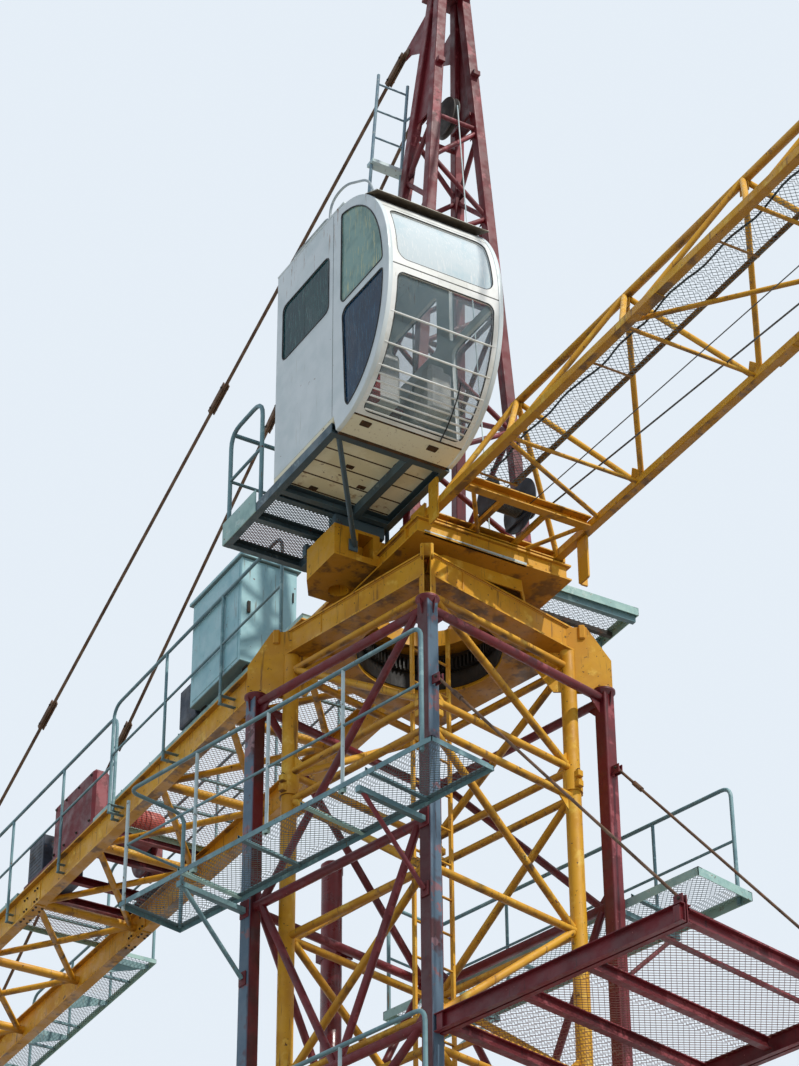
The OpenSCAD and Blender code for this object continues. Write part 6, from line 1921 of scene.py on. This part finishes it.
# Counter-jib: two rolled girders from the turntable to the tail, spliced with bolted plates.
# Cross tubes and crossed diagonals are welded between their webs.
cj_side_k = 0.57
cj_start = -table_half - 0.0003
cj_end = cj_start - 11.3
cj_mid = table_top + 0.09
cj_top = cj_mid + 0.15
cj_low = cj_mid - 0.15
splice = -6.6
girder_parts, splice_bolts = [], []
for side in (-1, 1):
    k = side*cj_side_k
    girder_parts.append(rolled(beam_iron(0.30, 0.11, 0.010, 0.014), (cj_end, k, cj_mid), (cj_start, k, cj_mid),
                               (0, 1, 0), yellow_paint))
    for z in (cj_top, cj_low - 0.010):
        girder_parts.append(block((splice - 0.22, k - 0.050, z), (splice + 0.22, k + 0.050, z + 0.010),
                                  yellow_paint, 0.002))
    for face in (-1, 1):
        y0, y1 = sorted((k + face*0.005, k + face*0.015))
        girder_parts.append(block((splice - 0.20, y0, cj_mid - 0.10), (splice + 0.20, y1, cj_mid + 0.10),
                                  yellow_paint, 0.002))
        splice_bolts += [((splice + a*0.06 - 0.03, k + face*0.015, cj_mid + b*0.06), (0, face, 0))
                         for a in (-2, -1, 2, 3) for b in (-1, 1)]
    splice_bolts += [((splice + a*0.07 - 0.035, k + b*0.034, cj_low - 0.010), DOWN)
                     for a in (-2, -1, 2, 3) for b in (-1, 1)]
girder_parts.append(bolts(splice_bolts, 0.012, dark_steel))
n_bays = 7
pitch = 9.4/n_bays
cross, slants = [], []
cross.append([(cj_end + 0.06, -cj_side_k, cj_mid), (cj_end + 0.06, cj_side_k, cj_mid)])
for i in range(n_bays + 1):
    j = cj_start - 0.2 - i*pitch
    cross.append([(j, -cj_side_k, cj_mid), (j, cj_side_k, cj_mid)])
    if i < n_bays:
        for side in (-1, 1):
            slants.append([(j, -side*(cj_side_k - 0.06), cj_mid), (j - pitch, side*(cj_side_k - 0.06), cj_mid)])
girder_parts += [tubes(cross, 0.045, yellow_paint, 18), tubes(slants, 0.032, yellow_paint, 14)]
upper_piece("counter_jib_frame", girder_parts, "yellow_paint", "cj_girders", "cj_bracing")

# Decks of the counter-jib: between the girders up to the hoist winch, and beside the right girder at the tail.
# Angle frames with cross angles, filled with expanded metal.
cj_deck_z = cj_top + 0.0603
deck_areas = [(-5.18, cj_start - 0.02, -0.61, 0.61), (-7.5, -6.9, -0.61, 0.61),
              (cj_end + 1.75, -7.52, 0.632, 1.232)]
cj_deck_parts, cj_deck_mesh = [], []
for j0, j1, k0, k1 in deck_areas:
    cj_deck_parts += angle_frame(j0, j1, k0, k1, cj_deck_z, 0.05, mint_paint, 0.04, 0.005)
    count = max(2, round((j1 - j0)/0.6))
    for i in range(1, count):
        j = j0 + (j1 - j0)*i/count
        cj_deck_parts.append(rolled(angle_iron(0.035, -0.035, 0.004)[::-1], (j, k0 + 0.005, cj_deck_z - 0.012),
                                    (j, k1 - 0.005, cj_deck_z - 0.012), (1, 0, 0), green_paint))
    cj_deck_mesh.append(mesh_panel(j0 + 0.008, j1 - 0.008, k0 + 0.008, k1 - 0.008, cj_deck_z - 0.006,
                                   rusty_mesh if k1 < 1 else mesh_steel))
for i in range(4):
    j = cj_end + 1.81 + i*(-7.5 - cj_end - 1.95)/3
    cj_deck_parts.append(plate([(0.625, cj_mid - 0.04), (0.64, cj_mid - 0.04), (1.20, cj_deck_z - 0.06),
                                (1.20, cj_deck_z - 0.02), (0.625, cj_deck_z - 0.02)], 0.008,
                               Matrix(((0, 0, 1, j), (1, 0, 0, 0), (0, 1, 0, 0), (0, 0, 0, 1))), green_paint))
upper_piece("counter_deck_frames", cj_deck_parts, "grey_green_paint", "cj_deck")
upper_piece("counter_deck_mesh", cj_deck_mesh, "grey_green_paint")

# Rails of the counter-jib: posts clamped to the girders, a top rail and a knee rail with round ends.
# Bent from round tube.
rail_line = cj_side_k + 0.071
rail_top = cj_top + 0.93
cj_posts, cj_tops, cj_knees, clamp_parts = [], [], [], []
for j0, j1, k, foot_z in ((cj_end + 1.75, -4.67, -rail_line, cj_mid - 0.06),
                          (-4.57, -1.24, -rail_line - 0.084, cj_mid - 0.06),
                          (-7.48, cj_start - 0.4, rail_line, cj_mid - 0.06),
                          (cj_end + 1.77, -7.54, 1.202, cj_top + 0.06)):
    cj_tops.append(bent([(j0, k, foot_z), (j0, k, rail_top), (j1, k, rail_top), (j1, k, foot_z)], 0.15))
    cj_knees.append([(j0, k, rail_top - 0.52), (j1, k, rail_top - 0.52)])
    count = math.ceil((j1 - j0)/1.25)
    for i in range(count + 1):
        j = j0 + (j1 - j0)*i/count
        if 0 < i < count:
            cj_posts.append([(j, k, foot_z), (j, k, rail_top)])
        if abs(k) < 1:
            y0, y1 = sorted((math.copysign(cj_side_k + 0.006, k), k + math.copysign(0.016, k)))
            for z in (cj_mid - 0.055, cj_mid + 0.03):
                clamp_parts.append(block((j - 0.02, y0, z), (j + 0.02, y1, z + 0.008), green_paint))
clamp_parts += [tubes(cj_posts, 0.0145, green_paint, 12), tubes(cj_tops, 0.016, green_paint, 12),
                tubes(cj_knees, 0.012, green_paint, 10)]
upper_piece("counter_rails", clamp_parts, "grey_green_paint", "cj_rails")

# Electric cabinet: a sheet steel cupboard with one seam, a stepped lid and a door with hinges.
# Painted pale blue-grey, with a small dark socket box on its outer end.
cabinet_paint = finish("cabinet_paint", tone(0.62, 0.79, 0.81), lambda tree: [
    (mask(tree, 2.4, 0.44, 0.62), tone(0.56, 0.74, 0.77)),
    (mask(tree, 4.0, 0.60, 0.72, RUNS), tone(0.46, 0.50, 0.48)),
    # Undersides darker: painted shade.
    (facing(tree, DOWN, 0.3, 0.9), tone(0.40, 0.46, 0.46)),
    (mask(tree, 18, 0.68, 0.72), RUST),
], rough=0.45)
cab2_j0, cab2_j1 = -3.0, -2.05
cab2_k0, cab2_k1 = -cj_side_k - 0.13, -cj_side_k + 0.43
cab2_z = cj_top + 0.0606
cupboard = [block((cab2_j0, cab2_k0, cab2_z + 0.04), (cab2_j1, cab2_k1, cab2_z + 1.13), cabinet_paint, 0.006),
            block((cab2_j0 - 0.03, cab2_k0 - 0.03, cab2_z + 1.13), (cab2_j1 + 0.03, cab2_k1 + 0.03, cab2_z + 1.165),
                  cabinet_paint, 0.006),
            block((cab2_j0 - 0.01, cab2_k0 - 0.01, cab2_z + 1.162), (cab2_j1 + 0.01, cab2_k1 + 0.01, cab2_z + 1.195),
                  cabinet_paint, 0.012)]
for j in (cab2_j0 + 0.04, cab2_j1 - 0.12):
    cupboard.append(rolled(channel_iron(0.04, 0.08, 0.006), (j, -cj_side_k - 0.04, cab2_z + 0.02),
                           (j, cab2_k1 - 0.06, cab2_z + 0.02), (1, 0, 0), dark_steel))
cupboard.append(block((cab2_j0 + 0.04, cab2_k0 - 0.004, cab2_z + 0.08), (cab2_j1 - 0.04, cab2_k0 + 0.002,
                                                                         cab2_z + 1.09), cabinet_paint, 0.003))
for z in (0.3, 0.85):
    cupboard.append(tubes([[(cab2_j1 + 0.006, cab2_k1 - 0.04, cab2_z + z - 0.05),
                            (cab2_j1 + 0.006, cab2_k1 - 0.04, cab2_z + z + 0.05)]], 0.008, dark_steel, 8))
cupboard.append(block((cab2_j1, cab2_k0 + 0.06, cab2_z + 0.55), (cab2_j1 + 0.02, cab2_k0 + 0.09, cab2_z + 0.67),
                      dark_steel, 0.004))
cupboard.append(block((cab2_j0 - 0.33, cab2_k0 + 0.06, cab2_z), (cab2_j0 - 0.001, cab2_k0 + 0.40, cab2_z + 0.40),
                      winch_dark, 0.01))
upper_piece("electric_cupboard", cupboard, "grey_green_paint", "electric_cabinet")

# Hoist winch: a grooved drum between two flanges on a welded bed, with a gearbox, a finned motor and a brake.
# The resistor box beside it is a plain box; dark strips on its face are the painted shade of louvres.
hj, hz0 = -6.02, cj_top + 0.0003
salmon_paint = finish("salmon_paint", tone(0.72, 0.30, 0.24), lambda tree: [
    (mask(tree, 3, 0.44, 0.62), tone(0.64, 0.24, 0.20)),
    (facing(tree, UP, 0.4, 0.9), tone(0.78, 0.44, 0.38)),
    (mask(tree, 10, 0.62, 0.70), tone(0.40, 0.20, 0.16)),
], rough=0.5)
bed = channel_iron(0.09, 0.06, 0.008)
hoist_parts = [rolled(bed, (hj - 0.8, -0.58, hz0 + 0.045), (hj + 0.8, -0.58, hz0 + 0.045), (0, 1, 0), maroon_paint),
               rolled([(-a, b) for a, b in bed][::-1], (hj - 0.8, 0.58, hz0 + 0.045),
                      (hj + 0.8, 0.58, hz0 + 0.045), (0, 1, 0), maroon_paint)]
for j in (-0.78, -0.35, 0.25, 0.72):
    hoist_parts.append(rolled(channel_iron(0.084, 0.055, 0.007), (hj + j, -0.57, hz0 + 0.045),
                              (hj + j, 0.57, hz0 + 0.045), (1, 0, 0), maroon_paint))
for k in (-0.36, 0.33):
    hoist_parts.append(spun([(0.06, 0), (0.29, 0), (0.30, 0.008), (0.30, 0.022), (0.29, 0.03), (0.06, 0.03)], 48,
                            pointing((hj, k, hz0 + 0.40), (0, 1, 0)), maroon_paint))
hoist_parts.append(spun([(0.19, 0), (0.19, 0.66)], 40, pointing((hj, -0.33, hz0 + 0.40), (0, 1, 0)), cast_steel))
hoist_parts.append(tubes([rope_turns((hj, hz0 + 0.40), -0.315, 0.315, 0.20, 0.0095)], 0.0095, rope_steel, 6))
hoist_parts.append(block((hj - 0.20, -0.56, hz0 + 0.09), (hj + 0.70, -0.39, hz0 + 0.71), maroon_paint, 0.03))
hoist_parts.append(block((hj - 0.12, 0.39, hz0 + 0.09), (hj + 0.12, 0.48, hz0 + 0.46), maroon_paint, 0.01))
big_motor = [(0.08, 0), (0.145, 0), (0.15, 0.03)]
for i in range(9):
    z = 0.06 + i*0.05
    big_motor += [(0.135, z), (0.135, z + 0.022), (0.15, z + 0.024), (0.15, z + 0.046)]
big_motor += [(0.15, 0.60), (0.13, 0.64), (0.06, 0.65)]
hoist_parts.append(spun(big_motor, 40, pointing((hj + 0.52, -0.40, hz0 + 0.33), (0, 1, 0)), salmon_paint))
hoist_parts.append(block((hj + 0.44, -0.25, hz0 + 0.09), (hj + 0.60, 0.15, hz0 + 0.24), maroon_paint, 0.006))
hoist_parts.append(rolled(pipe(0.05), (hj, -0.40, hz0 + 0.40), (hj, 0.40, hz0 + 0.40), (1, 0, 0), dark_steel, True))
hoist_parts.append(block((hj - 0.76, -0.56, hz0 + 0.09), (hj - 0.42, -0.12, hz0 + 0.52), winch_dark, 0.006))
# Dark strips on the resistor box: painted shade of louvre slots.
for i in range(8):
    z = hz0 + 0.15 + i*0.042
    hoist_parts.append(block((hj - 0.72, -0.5605, z), (hj - 0.46, -0.555, z + 0.012), rubber, 0.001))
gear_bolts = [((hj + a, -0.56, hz0 + b), (0, -1, 0)) for a in (-0.15, 0.08, 0.36, 0.64) for b in (0.15, 0.65)]
hoist_parts.append(bolts(gear_bolts, 0.014, dark_steel))
upper_piece("hoist_winch_set", hoist_parts, "maroon_paint", "hoist_winch")

# Counterweights: four cast concrete slabs hung between the girders at the tail, with lifting loops on top.
# Rough cast faces with rounded edges, stained by rain.
concrete = finish("concrete", tone(0.64, 0.62, 0.57), lambda tree: [
    (mask(tree, 1.6, 0.42, 0.62), tone(0.57, 0.55, 0.50)),
    (mask(tree, 9, 0.52, 0.66), tone(0.70, 0.68, 0.63)),
    (mask(tree, 3.0, 0.58, 0.74, RUNS), tone(0.44, 0.42, 0.38)),
    (mask(tree, 60, 0.66, 0.70), tone(0.36, 0.34, 0.31)),
], rough=0.9, grain=55, bump=0.5)
weight_parts, loops = [], []
for i in range(4):
    j = cj_end + 0.15 + i*0.34
    weight_parts.append(block((j, -cj_side_k + 0.07, cj_top - 1.4997), (j + 0.30, cj_side_k - 0.07, cj_top + 0.06),
                              concrete, 0.02))
    weight_parts.append(block((j, -cj_side_k - 0.04, cj_top + 0.0003), (j + 0.30, cj_side_k + 0.04, cj_top + 0.2003),
                              concrete, 0.02))
    for k in (-0.3, 0.3):
        loops.append(bent([(j + 0.15, k - 0.07, cj_top + 0.17), (j + 0.15, k - 0.07, cj_top + 0.30),
                           (j + 0.15, k + 0.07, cj_top + 0.30), (j + 0.15, k + 0.07, cj_top + 0.17)], 0.06))
weight_parts.append(tubes(loops, 0.010, dark_steel, 10))
upper_piece("counterweight_slabs", weight_parts, "concrete", "counterweights")

# Ties of the counter-jib: round bars from the tower head to the tail, in three lengths with pinned links.
# Bare steel gone brown, with flat link plates at each joint.
tie_top = Vector((0.015, abs(leg_point(1, 1, 0.94).y) + 0.0083 + 0.026, tie_z))
tie_foot = Vector((cj_end + 1.6, cj_side_k, cj_top + 0.06))
counter_parts, counter_pins = [], []
for side in (-1, 1):
    start = Vector((tie_top.x, side*tie_top.y, tie_top.z))
    end = Vector((tie_foot.x, side*tie_foot.y, tie_foot.z))
    way = (end - start).normalized()
    side_way = way.cross(Vector((0, 1, 0))).normalized()
    counter_parts.append(tubes([[start, end]], 0.017, ties_steel, 14))
    k = start.y
    y0, y1 = sorted((k - side*0.026, k - side*0.006))
    eye_plate = softened([(-0.04, tie_z - 0.04), (0.06, tie_z - 0.04), (0.06, tie_z + 0.04),
                          (-0.04, tie_z + 0.04)], 0.03)
    counter_parts.append(plate(eye_plate, y1 - y0, standing(y1), ties_steel))
    for t in (0.015, 0.32, 0.64):
        middle = start.lerp(end, t)
        for cheek in (-0.024, 0.024):
            off = Vector((0, cheek, 0))
            counter_parts.append(rolled(flat_bar(0.056, 0.012), middle + off - way*0.17, middle + off + way*0.17,
                                        side_way, ties_steel))
        for s_ in (-0.12, 0.12):
            for face in (-1, 1):
                counter_pins.append((middle + way*s_ + Vector((0, face*0.026, 0)), (0, face, 0)))
    lug = softened([(end.x - 0.06, cj_top + 0.0003), (end.x + 0.06, cj_top + 0.0003),
                    (end.x + 0.05, end.z + 0.04), (end.x - 0.05, end.z + 0.04)], 0.02)
    counter_parts.append(plate(lug, 0.02, standing(end.y + 0.01), ties_steel))
    counter_pins += [((end.x, end.y + f*0.01, end.z), (0, f, 0)) for f in (-1, 1)]
counter_parts.append(bolts(counter_pins, 0.015, dark_steel))
upper_piece("counter_tie_bars", counter_parts, "dark_steel", "cj_ties")
